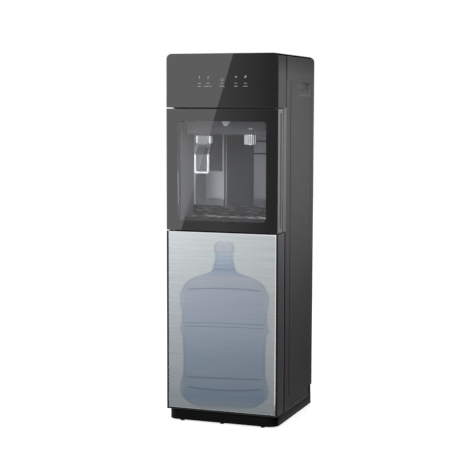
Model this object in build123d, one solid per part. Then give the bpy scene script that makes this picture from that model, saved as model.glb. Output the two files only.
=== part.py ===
"""A free-standing water cooler with its bottle in the bottom: moulded sides on a low base,
a touch-key head, a glass door in front of the taps and a taller door over the bottle.

Millimetres. X is left to right as seen from the front, Y runs to the back, Z is up.
The origin is on the floor, at the middle of the object's outline.
"""
from build123d import *
import os
from math import cos, radians, sin

os.makedirs("parts", exist_ok=True)

# The cooler is built round its bottle
bottle_radius = 135.0
bottle_height = 480.0
side_room = 32.5         # from the bottle to the outside, left and right
front_room = 46.0        # from the front plane to the bottle
rear_room = 2.0          # from the bottle to the back panel
door_over_bottle = 38.0  # the lower door is this much taller than the bottle

# Heights that stack up to the overall height
foot_height = 4.0
base_height = 27.0
door_gap = 3.0
lower_door_height = bottle_height + door_over_bottle
upper_door_height = 345.0
head_height = 151.0
cover_height = 71.0      # the top cover, over the side panels

# Depths, counted back from the front plane
glass_thickness = 4.5
upper_door_depth = 44.0
lower_door_depth = 64.0
seal_room = 3.0          # between a closed door and the frame behind it
head_depth = 73.0        # the head's front moulding
pillar_depth = 20.0
back_recess = 20.0       # the back panel stands this far in from the back

# Walls and clearances
side_wall = 3.0          # moulded side panels
back_sheet = 2.0         # steel back panel
moulding = 2.5           # plastic walls
fit_gap = 0.3            # between pieces that slide or swing past each other
running_gap = 0.05       # radial, pin in bore
top_radius = 16.0        # rounding along the two long top edges
top_rear_radius = 10.0
strap_thickness = 1.8    # hinge plates, in the gaps above and below the doors

# Places that follow
width = 2 * (bottle_radius + side_room)
depth = front_room + 2 * bottle_radius + rear_room + back_sheet + back_recess
front = -depth / 2
back = depth / 2
half = width / 2
inside = half - side_wall
base_top = foot_height + base_height
lower_door_bottom = base_top + door_gap
lower_door_top = lower_door_bottom + lower_door_height
upper_door_bottom = lower_door_top + door_gap
upper_door_top = upper_door_bottom + upper_door_height
head_bottom = upper_door_top + door_gap
total_height = head_bottom + head_height
side_top = total_height - cover_height    # the side panels end here
glass_back = front + glass_thickness
upper_door_back = front + upper_door_depth
lower_door_back = front + lower_door_depth
upper_frame_front = upper_door_back + seal_room
lower_frame_front = lower_door_back + seal_room
frame_back = lower_frame_front + pillar_depth
frame_step = (lower_door_top + upper_door_bottom + strap_thickness) / 2
head_back = front + head_depth
back_face = back - back_recess            # outer face of the back panel
back_inside = back_face - back_sheet


def block(x, y, z):
    """A box from three pairs of limits."""
    size = [high - low for low, high in (x, y, z)]
    middle = [(high + low) / 2 for low, high in (x, y, z)]
    return Pos(*middle) * Box(*size)


def both(outer):
    """A pair of limits, the same each side of the middle."""
    return (-outer, outer)


def around(middle, reach):
    """A pair of limits either side of a middle."""
    return (middle - reach, middle + reach)


def on_side(side, inner, outer):
    """A pair of limits in X, on the left for -1 and on the right for 1."""
    return tuple(sorted((side * inner, side * outer)))


def post(x, y, z, radius):
    """An upright cylinder between two heights."""
    return Pos(x, y, (z[0] + z[1]) / 2) * Cylinder(radius, z[1] - z[0])


def bar_x(x, y, z, radius):
    """A cylinder along X."""
    return Pos((x[0] + x[1]) / 2, y, z) * Rot(0, 90, 0) * Cylinder(radius, x[1] - x[0])


def bar_y(x, y, z, radius):
    """A cylinder along Y."""
    return Pos(x, (y[0] + y[1]) / 2, z) * Rot(90, 0, 0) * Cylinder(radius, y[1] - y[0])


def upright(shape):
    return shape.edges().filter_by(Axis.Z)


def plate_xz(outline, y):
    """A flat outline drawn in X and Z, extruded between two depths."""
    drawn = Plane((0, y[0], 0), x_dir=(1, 0, 0), z_dir=(0, -1, 0)) * outline
    return extrude(drawn, -(y[1] - y[0]))


def plate_xy(points, z):
    """A flat outline drawn in X and Y, extruded between two heights."""
    return extrude(Plane.XY.offset(z[0]) * make_face(Polyline(*points, close=True)), z[1] - z[0])


def plate_yz(points, x):
    """A flat outline drawn in Y and Z, extruded between two widths."""
    return extrude(Plane.YZ.offset(x[0]) * make_face(Polyline(*points, close=True)), x[1] - x[0])


def tube(points, radius, bore, bend):
    """A round hose along straight runs joined by tangent arcs."""
    path = FilletPolyline(*points, radius=bend)
    start = Plane(path @ 0, z_dir=path % 0)
    return sweep(start * Circle(radius), path) - sweep(start * Circle(bore), path)


# ---------------------------------------------------------------- base and feet
base_inset = 2.0
base_corner = 30.0
base_wall = 3.0
rear_inset = 5.5         # the posts at the back stand this far in at their tops
rear_flare = 5.0         # and lean out by this at the floor
rear_post_height = 32.0
rear_post_depth = 25.0
rear_post_width = 24.0
foot_radius = 6.5
foot_stem_radius = 4.0
foot_stem_length = 12.0
foot_boss_radius = 8.0
foot_set_back = 11.0       # front feet, behind the front plane
foot_set_in = 42.5         # outer feet, in from the base's sides
rear_foot_set_in = 40.0

base_half = half - base_inset
base_front = front + base_inset
post_back = back - rear_inset
post_front = post_back - rear_post_depth
post_inner = base_half - rear_post_width
rear_post_top = base_top + rear_post_height
foot_x = base_half - foot_set_in
foot_places = [(x, front + foot_set_back) for x in (-foot_x, 0.0, foot_x)]
foot_places += [(x, back - rear_foot_set_in) for x in both(foot_x)]


def make_base():
    side_view = [
        (base_front, foot_height),
        (post_back + rear_flare, foot_height),
        (post_back, rear_post_top),
        (post_front, rear_post_top),
        (post_front, base_top),
        (base_front, base_top),
    ]
    made = plate_yz(side_view, both(base_half))
    made -= block(both(post_inner), (post_front, back), (base_top, rear_post_top))
    made = fillet(upright(made).group_by(Axis.Y)[0], base_corner)
    hollow = block(
        both(base_half - base_wall),
        (base_front + base_wall, post_back - base_wall),
        (foot_height, base_top - base_wall),
    )
    made -= fillet(upright(hollow).group_by(Axis.Y)[0], base_corner - base_wall)
    for x, y in foot_places:
        made += post(x, y, (foot_height, base_top - base_wall), foot_boss_radius)
        stem = (foot_height, foot_height + foot_stem_length)
        made -= post(x, y, stem, foot_stem_radius + running_gap)
    return made


def make_rubber_feet():
    made = []
    for x, y in foot_places:
        pad = post(x, y, (0, foot_height), foot_radius)
        pad = fillet(pad.edges().group_by(Axis.Z)[0], foot_height / 4)
        stem = (foot_height, foot_height + foot_stem_length)
        made.append(pad + post(x, y, stem, foot_stem_radius))
    return Compound(children=made)


# ---------------------------------------------------------------- bottle and its floor
floor_height = 20.0
floor_recess = 3.0
bottle_wall = 1.6
bottle_foot_inset = 35.0  # how far the foot stands in from the body
bottle_foot_round = 12.0
foot_play = 1.5
foot_swell = (42.0, 62.0)        # heights above the foot where the body is full width
waist_depth = 8.0                # how far the body draws in between its swellings
waist_start = 84.0               # height above the foot
waist_end_drop = 280.0           # this and the next ones are measured down from the bottle's top
hoop_drop = (265.0, 251.0)
upper_waist_drop = (236.0, 196.0)
shoulder_swell_drop = (176.0, 154.0)
shoulder_drop = 108.0
shoulder_inset = 17.0
neck_radius = 27.5
neck_collar = 4.0
collar_drop = (87.0, 66.0)
collar_step = 4.0
heel_round = 10.0
foot_swell_round = 24.0
body_round = 12.0
hoop_round = 7.5
shoulder_swell_round = 18.0
shoulder_round = 52.0
collar_round = 10.0
collar_edge_round = 1.5
cap_radius = 30.0
cap_height = 32.0
cap_wall = 2.0
dip_radius = 5.0
dip_bore = 3.5
dip_clearance = 9.0       # the dip tube stops this far above the bottle's floor
probe_radius = 24.0
probe_height = 8.0

floor_top = base_top + floor_height
bottle_base = floor_top - floor_recess
bottle_top = bottle_base + bottle_height
bottle_y = front + front_room + bottle_radius
bottle_foot_radius = bottle_radius - bottle_foot_inset


def make_bottle_floor():
    """Moulded tray with a round seat for the bottle, open to the front."""
    made = block(both(inside), (lower_frame_front, back_inside), (base_top, floor_top))
    for side in (-1, 1):
        corner = on_side(side, post_inner, inside)
        made -= block(corner, (post_front, back_inside), (base_top, floor_top))
    seat = bottle_foot_radius + foot_play
    made -= post(0, bottle_y, (bottle_base, floor_top), seat)
    return made - block(both(seat), (lower_frame_front, bottle_y), (bottle_base, floor_top))


def bottle_body(inset):
    """Solid of revolution: corners as radius, height above the foot, rounding."""
    r = bottle_radius - inset
    waist = r - waist_depth
    neck = neck_radius - inset
    collar = neck + neck_collar
    tall = bottle_height
    corners = [
        (bottle_foot_radius - bottle_foot_round, inset, heel_round),
        (r, foot_swell[0], foot_swell_round),
        (r, foot_swell[1], body_round),
        (waist, waist_start, body_round),
        (waist, tall - waist_end_drop, hoop_round),
        (r, tall - hoop_drop[0], hoop_round),
        (r, tall - hoop_drop[1], hoop_round),
        (waist, tall - upper_waist_drop[0], hoop_round),
        (waist, tall - upper_waist_drop[1], body_round),
        (r, tall - shoulder_swell_drop[0], body_round),
        (r, tall - shoulder_swell_drop[1], shoulder_swell_round),
        (r - shoulder_inset, tall - shoulder_drop - inset, shoulder_round),
        (collar, tall - collar_drop[0] - inset, collar_round),
        (collar, tall - collar_drop[1], collar_edge_round),
        (neck, tall - collar_drop[1] + collar_step, collar_edge_round),
    ]
    top = tall - cap_wall
    points = [(0, inset), *[(x, z) for x, z, _ in corners], (neck, top)]
    bends = [bend for _, _, bend in corners]
    side = FilletPolyline(*points, radius=bends)
    closing = Polyline((neck, top), (0, top), (0, inset))
    outline = Plane.XZ * make_face([*side.edges(), *closing.edges()])
    return Pos(0, bottle_y, bottle_base) * revolve(outline, Axis.Z)


def make_water_bottle():
    mouth = (bottle_top - cap_height, bottle_top - cap_wall)
    made = bottle_body(0.0) - bottle_body(bottle_wall)
    return made - post(0, bottle_y, mouth, neck_radius - bottle_wall)


def make_bottle_cap():
    skirt = (bottle_top - cap_height, bottle_top)
    made = post(0, bottle_y, skirt, cap_radius)
    made = fillet(made.edges().group_by(Axis.Z)[-1], cap_wall * 0.75)
    made -= post(0, bottle_y, (skirt[0], bottle_top - cap_wall), neck_radius + running_gap)
    return made - post(0, bottle_y, skirt, dip_radius + running_gap)


def make_suction_probe():
    """Dip tube with the collar that sits on the bottle's cap."""
    low = bottle_base + bottle_wall + dip_clearance
    top = bottle_top + probe_height
    made = post(0, bottle_y, (low, top), dip_radius)
    made += post(0, bottle_y, (bottle_top, top), probe_radius)
    return made - post(0, bottle_y, (low, top), dip_bore)


# ---------------------------------------------------------------- front frame
bay_side = 28.5            # the bottle bay's mouth, in from the outside
bay_top_drop = 14.0        # its top, below the top of the lower door
niche_side = 27.5          # the tap niche, in from the outside
niche_wall = 2.0
niche_rise = 21.0          # its floor, above the foot of the glass door
niche_depth = 102.0        # to the outside of its back wall
head_beam_height = 35.0
hood_height = 41.0

bay_half = half - bay_side
bay_top = lower_door_top - bay_top_drop
niche_half = half - niche_side
niche_outer = niche_half + niche_wall
niche_floor = upper_door_bottom + niche_rise
hood_top = head_bottom - head_beam_height
tap_height = hood_top - hood_height       # underside of the tap hood
niche_back = upper_frame_front + niche_depth
niche_rear = niche_back - niche_wall


def make_pillar(side):
    made = block(
        on_side(side, bay_half, inside),
        (lower_frame_front, frame_back),
        (floor_top, frame_step),
    )
    made += block(
        on_side(side, niche_outer, half),
        (upper_frame_front, head_back),
        (frame_step, head_bottom),
    )
    return made + block(
        on_side(side, niche_outer, inside),
        (head_back, frame_back),
        (frame_step, head_bottom),
    )


def make_middle_beam():
    made = block(both(bay_half), (lower_frame_front, frame_back), (bay_top, frame_step))
    return made + block(
        both(niche_outer),
        (upper_frame_front, frame_back),
        (frame_step, niche_floor - niche_wall),
    )


def make_head_beam():
    return block(both(niche_outer), (upper_frame_front, frame_back), (hood_top, head_bottom))


# ---------------------------------------------------------------- sides, back and top
field_front = 110.0        # the side panel's sunk field, behind the front plane
field_back = 31.0          # its rear end, in from the back
field_ramp = 9.0           # width of the slope at its rear edge
field_sink = 1.6
field_rise = 10.0          # its foot, above the base
field_drop = 4.0           # its top, below the panel's top
rear_lip = 15.0
rear_lip_thickness = 1.5

# Hand pocket: steep behind the top edge, then sloping out to the bottom edge
grip_back = 34.0           # its rear end, in from the back
grip_length = 110.0
grip_height = 38.0
grip_slope = 19.5          # height of the sloping part
grip_depth = 15.0
grip_knee_depth = 13.0
grip_wall = 2.0

field_face = half - field_sink
field_z = (base_top + field_rise, side_top - field_drop)
grip_y = (back - grip_back - grip_length, back - grip_back)
grip_top = field_z[1] - grip_wall
grip_bottom = grip_top - grip_height
grip_z = (grip_bottom, grip_top)
cup_y = (grip_y[0] - grip_wall, grip_y[1] + grip_wall)
cup_z = (grip_z[0] - grip_wall, grip_z[1] + grip_wall)


def make_side_panel(side):
    across = on_side(side, inside, half)
    made = block(across, (lower_frame_front, back), (base_top, frame_step))
    made += block(across, (head_back, back), (frame_step, side_top))
    made -= block(across, (post_front, back), (base_top, rear_post_top))
    field = [
        (side * (half + 1), front + field_front),
        (side * field_face, front + field_front),
        (side * field_face, back - field_back),
        (side * half, back - field_back + field_ramp),
        (side * (half + 1), back - field_back + field_ramp),
    ]
    made -= plate_xy(field, field_z)
    made -= block(across, cup_y, cup_z)
    lip = on_side(side, inside - rear_lip, inside)
    return made + block(lip, (back - rear_lip_thickness, back), (rear_post_top, side_top))


def make_grip_cup(side):
    """The moulded pocket that a hand lifts by."""
    deep = field_face - grip_depth
    made = block(on_side(side, deep - grip_wall, field_face), cup_y, cup_z)
    hollow = Polyline(
        (side * field_face, grip_top),
        (side * deep, grip_top),
        (side * (field_face - grip_knee_depth), grip_bottom + grip_slope),
        (side * field_face, grip_bottom),
        close=True,
    )
    return made - plate_xz(make_face(hollow), grip_y)


louvre_rows = 10
louvre_pitch = 14.0
louvre_height = 4.0
louvre_half = 60.0
louvre_rise = 35.6         # the lowest louvre, above the step in the frame
inlet_half = (14.0, 11.0)
inlet_rise = 51.6          # inlet and drain, above the step in the frame
fitting_inset = 52.5       # inlet, switches and drain, in from the side panels
switch_over_inlet = 56.0
switch_pitch = 26.0
rocker_half = (7.0, 9.5)
rocker_play = 0.8
well_wall = 1.0
drain_radius = 8.0

inlet_x = switch_x = inside - fitting_inset
inlet_z = drain_z = frame_step + inlet_rise
switch_z = inlet_z + switch_over_inlet
drain_x = -inlet_x
well_half = (rocker_half[0] + rocker_play + well_wall, rocker_half[1] + rocker_play + well_wall)


def make_back_panel():
    y = (back_inside, back_face)
    made = block(both(inside), y, (base_top, side_top))
    for side in (-1, 1):
        made -= block(on_side(side, post_inner, inside), y, (base_top, rear_post_top))
    for row in range(louvre_rows):
        low = frame_step + louvre_rise + row * louvre_pitch
        made -= block(both(louvre_half), y, (low, low + louvre_height))
    made -= block(around(inlet_x, inlet_half[0]), y, around(inlet_z, inlet_half[1]))
    for place in (-0.5, 0.5):
        middle = switch_z + place * switch_pitch
        wide, tall = well_half
        made -= block(around(switch_x, wide), y, around(middle, tall))
    return made - bar_y(drain_x, y, drain_z, drain_radius)


def rounded_top(half_width, low, high, radius):
    """A rectangle in X and Z with its two top corners rounded."""
    outline = Pos(0, (low + high) / 2) * Rectangle(2 * half_width, high - low)
    return fillet(outline.vertices().group_by(Axis.Y)[-1], radius)


def cover_shape(inset):
    """A block with rounded long edges and a rounded rear edge, drawn in by an inset."""
    high = total_height - inset
    outline = rounded_top(half - inset, side_top, high, top_radius - inset)
    made = plate_xz(outline, (head_back, back - inset))
    rear = block(both(half), (head_back, back - inset), (side_top, high))
    rear_edge = rear.edges().filter_by(Axis.X).group_by(Axis.Y)[-1].group_by(Axis.Z)[-1]
    return made & fillet(rear_edge, top_rear_radius - inset)


def make_top_cover():
    return cover_shape(0.0) - cover_shape(moulding)


# ---------------------------------------------------------------- head
head_wall = 3.0
edge_break = 0.8           # small chamfer round the glass
board_inset = 57.5         # the display board's ends, in from the outside
board_rise = 42.0          # its foot, above the head's underside
board_height = 67.0
board_thickness = 1.6
board_set_back = 3.5       # behind the glass
bracket_half = 12.0
bracket_thickness = 2.0
key_x = (-66.5, -40.5, 1.5, 42.5, 70.5)
key_rise = 85.5
key_half = 6.0

board_half = half - board_inset
board_z = (head_bottom + board_rise, head_bottom + board_rise + board_height)
key_z = head_bottom + key_rise
board_y = (glass_back + board_set_back, glass_back + board_set_back + board_thickness)


def make_head_shell():
    outline = rounded_top(half, head_bottom, total_height, top_radius)
    hollow = rounded_top(
        half - head_wall,
        head_bottom + head_wall,
        total_height - head_wall,
        top_radius - head_wall,
    )
    y = (glass_back, head_back)
    return plate_xz(outline, y) - plate_xz(hollow, y)


def make_head_glass():
    outline = rounded_top(half, head_bottom, total_height, top_radius)
    made = plate_xz(outline, (front, glass_back))
    return chamfer(made.faces().sort_by(Axis.Y)[0].edges(), edge_break)


def make_display_board():
    """Circuit board with a light guide behind each key, and its two side brackets."""
    made = block(both(board_half), board_y, board_z)
    for x in key_x:
        made += block(around(x, key_half), (glass_back, board_y[0]), around(key_z, key_half))
    middle = (board_z[0] + board_z[1]) / 2
    for side in (-1, 1):
        reach = on_side(side, board_half - bracket_thickness, half - head_wall)
        plate = (board_y[1], board_y[1] + bracket_thickness)
        made += block(reach, plate, around(middle, bracket_half))
    return made


# ---------------------------------------------------------------- doors
rail_width = 26.5          # left and right rails of both doors
opening_margin = (2.0, 4.0)    # the glass door's opening past the niche, below and above
lower_rail = 22.0          # bottom and top rails of the lower door
hinge_corner = 10.0        # rounding that lets a door swing past the frame
free_corner = 4.0
panel_border = 3.5         # the frame shows this much round the lower door's panel
panel_thickness = 4.0
seal_width = 6.0
seal_thickness = seal_room - fit_gap
upper_seal_margin = (10.0, 14.0)
lower_seal_margin = (6.0, 8.0)
window_margin = (6.0, 7.0)     # the mask shows this much inside the opening, below and above
window_side_margin = 8.7
window_corner = 12.0
mask_thickness = 1.5
mask_overlap = 5.0
pull_depth = 6.0           # finger channel up the free side of the upper door
pull_y = (18.0, 32.0)
pull_inset = 12.0

# Both doors turn about one upright line near the front left corner
hinge_inset = 17.5
hinge_set_back = 18.0
pin_radius = 3.0
pin_length = 13.0          # how far a pin reaches into a door
pin_end_play = 1.0
strap_half = 5.0

hinge_x = -half + hinge_inset
hinge_y = front + hinge_set_back
opening_half = half - rail_width
upper_opening = (niche_floor + opening_margin[0], hood_top + opening_margin[1])
upper_seal_z = (upper_opening[0] - upper_seal_margin[0], upper_opening[1] + upper_seal_margin[1])
lower_seal_z = (lower_door_bottom + lower_seal_margin[0], bay_top + lower_seal_margin[1])
window_half = opening_half - window_side_margin
window_z = (upper_opening[0] + window_margin[0], upper_opening[1] - window_margin[1])


def pin_bores(z):
    """Blind bores for the hinge pins in the bottom and top of a door."""
    radius = pin_radius + running_gap
    reach = pin_length + pin_end_play
    made = post(hinge_x, hinge_y, (z[0], z[0] + reach), radius)
    return made + post(hinge_x, hinge_y, (z[1] - reach, z[1]), radius)


def door_slab(y, z):
    """A door's outer block: rounded behind the hinge, eased behind the free edge."""
    made = block(both(half), y, z)
    made = fillet(upright(made).group_by(Axis.Y)[-1].sort_by(Axis.X)[0], hinge_corner)
    return chamfer(upright(made).group_by(Axis.Y)[-1].sort_by(Axis.X)[-1], free_corner)


def make_upper_door_frame():
    z = (upper_door_bottom, upper_door_top)
    y = (glass_back, upper_door_back)
    made = door_slab(y, z) - block(both(opening_half), y, upper_opening)
    made -= pin_bores(z)
    made -= block(
        (half - pull_depth, half),
        (front + pull_y[0], front + pull_y[1]),
        (z[0] + pull_inset, z[1] - pull_inset),
    )
    return made - block(
        both(opening_half + mask_overlap),
        (glass_back, glass_back + mask_thickness),
        (upper_opening[0] - mask_overlap, upper_opening[1] + mask_overlap),
    )


def make_upper_door_glass():
    made = block(both(half), (front, glass_back), (upper_door_bottom, upper_door_top))
    return chamfer(made.faces().sort_by(Axis.Y)[0].edges(), edge_break)


def make_window_mask():
    """Black bezel behind the glass, with the clear window's outline."""
    y = (glass_back, glass_back + mask_thickness)
    made = block(
        both(opening_half + mask_overlap),
        y,
        (upper_opening[0] - mask_overlap, upper_opening[1] + mask_overlap),
    )
    window = Pos(0, (window_z[0] + window_z[1]) / 2) * RectangleRounded(
        2 * window_half, window_z[1] - window_z[0], window_corner
    )
    return made - plate_xz(window, y)


def seal_ring(y, z):
    outer = opening_half + fit_gap + seal_width
    made = block(both(outer), y, z)
    hole = (z[0] + seal_width, z[1] - seal_width)
    return made - block(both(outer - seal_width), y, hole)


def make_upper_door_seal():
    return seal_ring((upper_door_back, upper_door_back + seal_thickness), upper_seal_z)


def make_lower_door_seal():
    return seal_ring((lower_door_back, lower_door_back + seal_thickness), lower_seal_z)


def make_lower_door_frame():
    z = (lower_door_bottom, lower_door_top)
    y = (front, lower_door_back)
    made = door_slab(y, z)
    made = chamfer(upright(made).group_by(Axis.Y)[0], edge_break)
    made -= block(both(opening_half), y, (z[0] + lower_rail, z[1] - lower_rail))
    made -= block(
        both(half - panel_border),
        (front, front + panel_thickness),
        (z[0] + panel_border, z[1]),
    )
    return made - pin_bores(z)


def make_lower_door_panel():
    made = block(
        both(half - panel_border),
        (front, front + panel_thickness),
        (lower_door_bottom + panel_border, lower_door_top),
    )
    return chamfer(made.faces().sort_by(Axis.Y)[0].edges(), edge_break)


def hinge_plate(plate, y_end, pins):
    """A flat plate from the frame to the hinge line, with its pin riveted through."""
    made = block(around(hinge_x, strap_half), (hinge_y, y_end), plate)
    made += post(hinge_x, hinge_y, plate, strap_half)
    return made + post(hinge_x, hinge_y, pins, pin_radius)


def make_hinge_plates():
    bottom = (base_top, base_top + strap_thickness)
    middle = (frame_step - strap_thickness, frame_step)
    top = (head_bottom - strap_thickness, head_bottom)
    return Compound(children=[
        hinge_plate(bottom, lower_frame_front, (bottom[0], lower_door_bottom + pin_length)),
        hinge_plate(
            middle,
            lower_frame_front,
            (lower_door_top - pin_length, upper_door_bottom + pin_length),
        ),
        hinge_plate(top, upper_frame_front, (upper_door_top - pin_length, top[1])),
    ])


# ---------------------------------------------------------------- tap niche
hood_proud = 11.0          # the hood stands this far in front of the frame
hood_nose_inset = 16.0     # its proud part, in from the niche's sides
hood_corner = 8.0
hood_wall = 2.5
lamp_half = (13.5, 4.5)    # half width of the lamp's lens at its top and its foot
lamp_height = 14.0
lamp_proud = 2.0
column_half = 45.0         # middle of the back wall, raised between the steel plates
column_proud = 3.0
rib_x = -39.0
rib_radius = 1.5
plate_gap = 1.0
plate_width = 57.0
plate_thickness = 1.5
plate_rise = 42.0          # the plates' feet, above the niche's floor
plate_fold = 18.0          # height of the forward fold along the plates' feet
plate_fold_depth = 5.0
notch_margin = (11.5, 5.5)     # window in the left plate behind the hot tap
notch_height = 109.0
slot_drops = (20.0, 56.0)      # slots across the right plate, below the hood
slot_height = 2.5

hood_y = upper_frame_front - hood_proud
hood_nose_half = niche_half - hood_nose_inset
plate_bottom = niche_floor + plate_rise
plate_x = (column_half + plate_gap, column_half + plate_gap + plate_width)
notch_x = (-plate_x[1] + notch_margin[0], -plate_x[0] - notch_margin[1])


def make_niche_liner():
    made = block(
        both(niche_outer), (upper_frame_front, niche_back), (niche_floor - niche_wall, hood_top)
    )
    made -= block(both(niche_half), (upper_frame_front, niche_rear), (niche_floor, hood_top))
    column = (niche_rear - column_proud, niche_rear)
    made += block(both(column_half), column, (niche_floor, tap_height))
    return made + post(rib_x, column[0], (niche_floor, tap_height), rib_radius)


def splash_plate(side):
    """Bright plate on the back wall beside the column, folded forward at its foot."""
    y = (niche_rear - plate_thickness, niche_rear)
    made = block(on_side(side, *plate_x), y, (plate_bottom, tap_height))
    fold = [
        (y[0], plate_bottom + plate_fold),
        (y[0] - plate_fold_depth, plate_bottom),
        (y[1], plate_bottom),
        (y[1], plate_bottom + plate_fold),
    ]
    return made + plate_yz(fold, on_side(side, *plate_x))


def make_splash_plate_left():
    y = (niche_rear - plate_thickness, niche_rear)
    return splash_plate(-1) - block(notch_x, y, (tap_height - notch_height, tap_height))


def make_splash_plate_right():
    made = splash_plate(1)
    y = (niche_rear - plate_thickness, niche_rear)
    reach = (plate_x[0], plate_x[1] - plate_thickness)
    for drop in slot_drops:
        made -= block(reach, y, around(tap_height - drop, slot_height / 2))
    return made


def make_tap_hood():
    z = (tap_height, hood_top)
    nose = block(both(hood_nose_half), (hood_y, upper_frame_front), z)
    nose = fillet(upright(nose).group_by(Axis.Y)[0], hood_corner)
    made = nose + block(both(niche_half), (upper_frame_front, niche_rear), z)
    made -= block(
        both(niche_half - hood_wall),
        (upper_frame_front + hood_wall, niche_rear),
        (tap_height + hood_wall, hood_top),
    )
    made -= block(
        both(hood_nose_half - hood_corner),
        (hood_y + hood_wall, upper_frame_front + hood_wall),
        (tap_height + hood_wall, hood_top - hood_wall),
    )
    for x in both(tap_x):
        made -= post(x, tap_y, (tap_height, tap_height + hood_wall), tap_neck + running_gap)
    return made


def make_niche_lamp():
    """Lens on the hood's face, narrowing downwards."""
    top, foot = lamp_half
    low = hood_top - hood_wall - lamp_height
    outline = Polyline(
        (-top, hood_top - hood_wall), (top, hood_top - hood_wall), (foot, low), (-foot, low),
        close=True,
    )
    return plate_xz(make_face(outline), (hood_y - lamp_proud, hood_y))


# ---------------------------------------------------------------- taps
tap_x = 70.0
tap_set_back = 48.0
tap_neck = 6.0
tap_bore = 4.0
tap_nut = 9.0              # radius of the nut on top of the hood's floor
tap_nut_height = 4.0
body_half = 17.0
body_depth = 20.0
body_gap = 4.0             # from the tap's body up to the hood
body_height = 24.0
body_corner = 3.0
spout_radius = 6.0
spout_length = 4.0
nozzle_radius = 18.0
nozzle_height = 28.0
pivot_drop = 14.0          # heights on the lever, below the hood
pivot_radius = 2.0
pivot_depth = 6.0
cheek_width = 4.7          # thickness of each side of the lever's bow
cheek_reach = 8.0          # half the depth of its upper ends
bow_depth = 5.0
bow_corner = 7.0
lever_reach = 20.0         # the paddle hangs this far in front of the pivot
knee_drops = (57.0, 25.5)  # foot and top of the sloping part
lever_length = 110.0
paddle_thickness = 2.5
paddle_drop = 37.0

tap_y = front + tap_set_back
body_z = (tap_height - body_gap - body_height, tap_height - body_gap)
pivot_z = tap_height - pivot_drop
knee_z = (tap_height - knee_drops[0], tap_height - knee_drops[1])
paddle_low = tap_height - lever_length
paddle_top = tap_height - paddle_drop
bow_y = tap_y - lever_reach
cheek_inner = body_half + fit_gap
cheek_outer = cheek_inner + cheek_width


def tap_stem(x):
    """The threaded neck through the hood's floor, with its nut."""
    nut = tap_height + hood_wall
    made = post(x, tap_y, (tap_height, nut), tap_neck)
    return made + post(x, tap_y, (nut, nut + tap_nut_height), tap_nut)


def make_hot_tap_body():
    top = tap_height + hood_wall + tap_nut_height
    made = block(around(-tap_x, body_half), around(tap_y, body_depth / 2), body_z)
    made = fillet(upright(made), body_corner)
    made += post(-tap_x, tap_y, (body_z[1], tap_height), tap_neck)
    made += tap_stem(-tap_x)
    made += post(-tap_x, tap_y, (body_z[0] - spout_length, body_z[0]), spout_radius)
    made -= post(-tap_x, tap_y, (body_z[0] - spout_length, top), tap_bore)
    for side in (-1, 1):
        face = -tap_x + side * body_half
        bore = sorted((face, face - side * (pivot_depth + fit_gap)))
        made -= bar_x(bore, tap_y, pivot_z, pivot_radius + running_gap)
    return made


def make_cold_nozzle():
    z = (tap_height - nozzle_height, tap_height)
    made = post(tap_x, tap_y, z, nozzle_radius)
    made = chamfer(made.edges().group_by(Axis.Z)[0], edge_break) + tap_stem(tap_x)
    top = tap_height + hood_wall + tap_nut_height
    return made - post(tap_x, tap_y, (z[0], top), tap_bore)


def slope_y(z):
    """Depth of the bow's middle line at a height on its sloping part."""
    return bow_y + (tap_y - bow_y) * (z - knee_z[0]) / (knee_z[1] - knee_z[0])


def make_hot_lever():
    """Bow: two cheeks on the pivots, two sloping arms, and a U that a cup pushes."""
    reach = bow_depth / 2
    side_view = [
        (tap_y - cheek_reach, body_z[1]),
        (tap_y + cheek_reach, body_z[1]),
        (tap_y + cheek_reach, knee_z[1]),
        (tap_y + reach, knee_z[1]),
        (bow_y + reach, knee_z[0]),
        (bow_y + reach, paddle_low),
        (bow_y - reach, paddle_low),
        (bow_y - reach, knee_z[0]),
        (tap_y - reach, knee_z[1]),
        (tap_y - cheek_reach, knee_z[1]),
    ]
    made = plate_yz(side_view, around(-tap_x, cheek_outer))
    made = fillet(made.edges().filter_by(Axis.Y).group_by(Axis.Z)[0], bow_corner)
    made -= block(
        around(-tap_x, cheek_inner),
        (bow_y - body_depth, tap_y + body_depth),
        (paddle_low + cheek_width, tap_height),
    )
    for side in (-1, 1):
        start = -tap_x + side * (body_half - pivot_depth)
        end = -tap_x + side * (cheek_inner + cheek_width / 2)
        made += bar_x(sorted((start, end)), tap_y, pivot_z, pivot_radius)
    return made


def make_hot_paddle():
    """Smoked push plate held between the bow's arms."""
    reach = paddle_thickness / 2
    side_view = [
        (bow_y - reach, paddle_low + cheek_width),
        (bow_y + reach, paddle_low + cheek_width),
        (bow_y + reach, knee_z[0]),
        (slope_y(paddle_top) + reach, paddle_top),
        (slope_y(paddle_top) - reach, paddle_top),
        (bow_y - reach, knee_z[0]),
    ]
    return plate_yz(side_view, around(-tap_x, cheek_inner))


# ---------------------------------------------------------------- drip tray
tray_side_play = 4.0
tray_height = 13.0
tray_wall = 2.0
tray_play = 5.0
tray_corner = 8.0
grille_rise = 11.0
grille_thickness = 3.0
grille_play = 1.0
ledge_size = 6.0
slot_width = 4.5
slot_pitch = 9.0
slot_margin = 9.0
slot_bridge = 6.0

tray_half = niche_half - tray_side_play
tray_rim = niche_floor + tray_height
tray_y = (upper_frame_front + tray_play, niche_rear - column_proud - tray_play)
grille_z = (niche_floor + grille_rise, niche_floor + grille_rise + grille_thickness)


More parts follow.
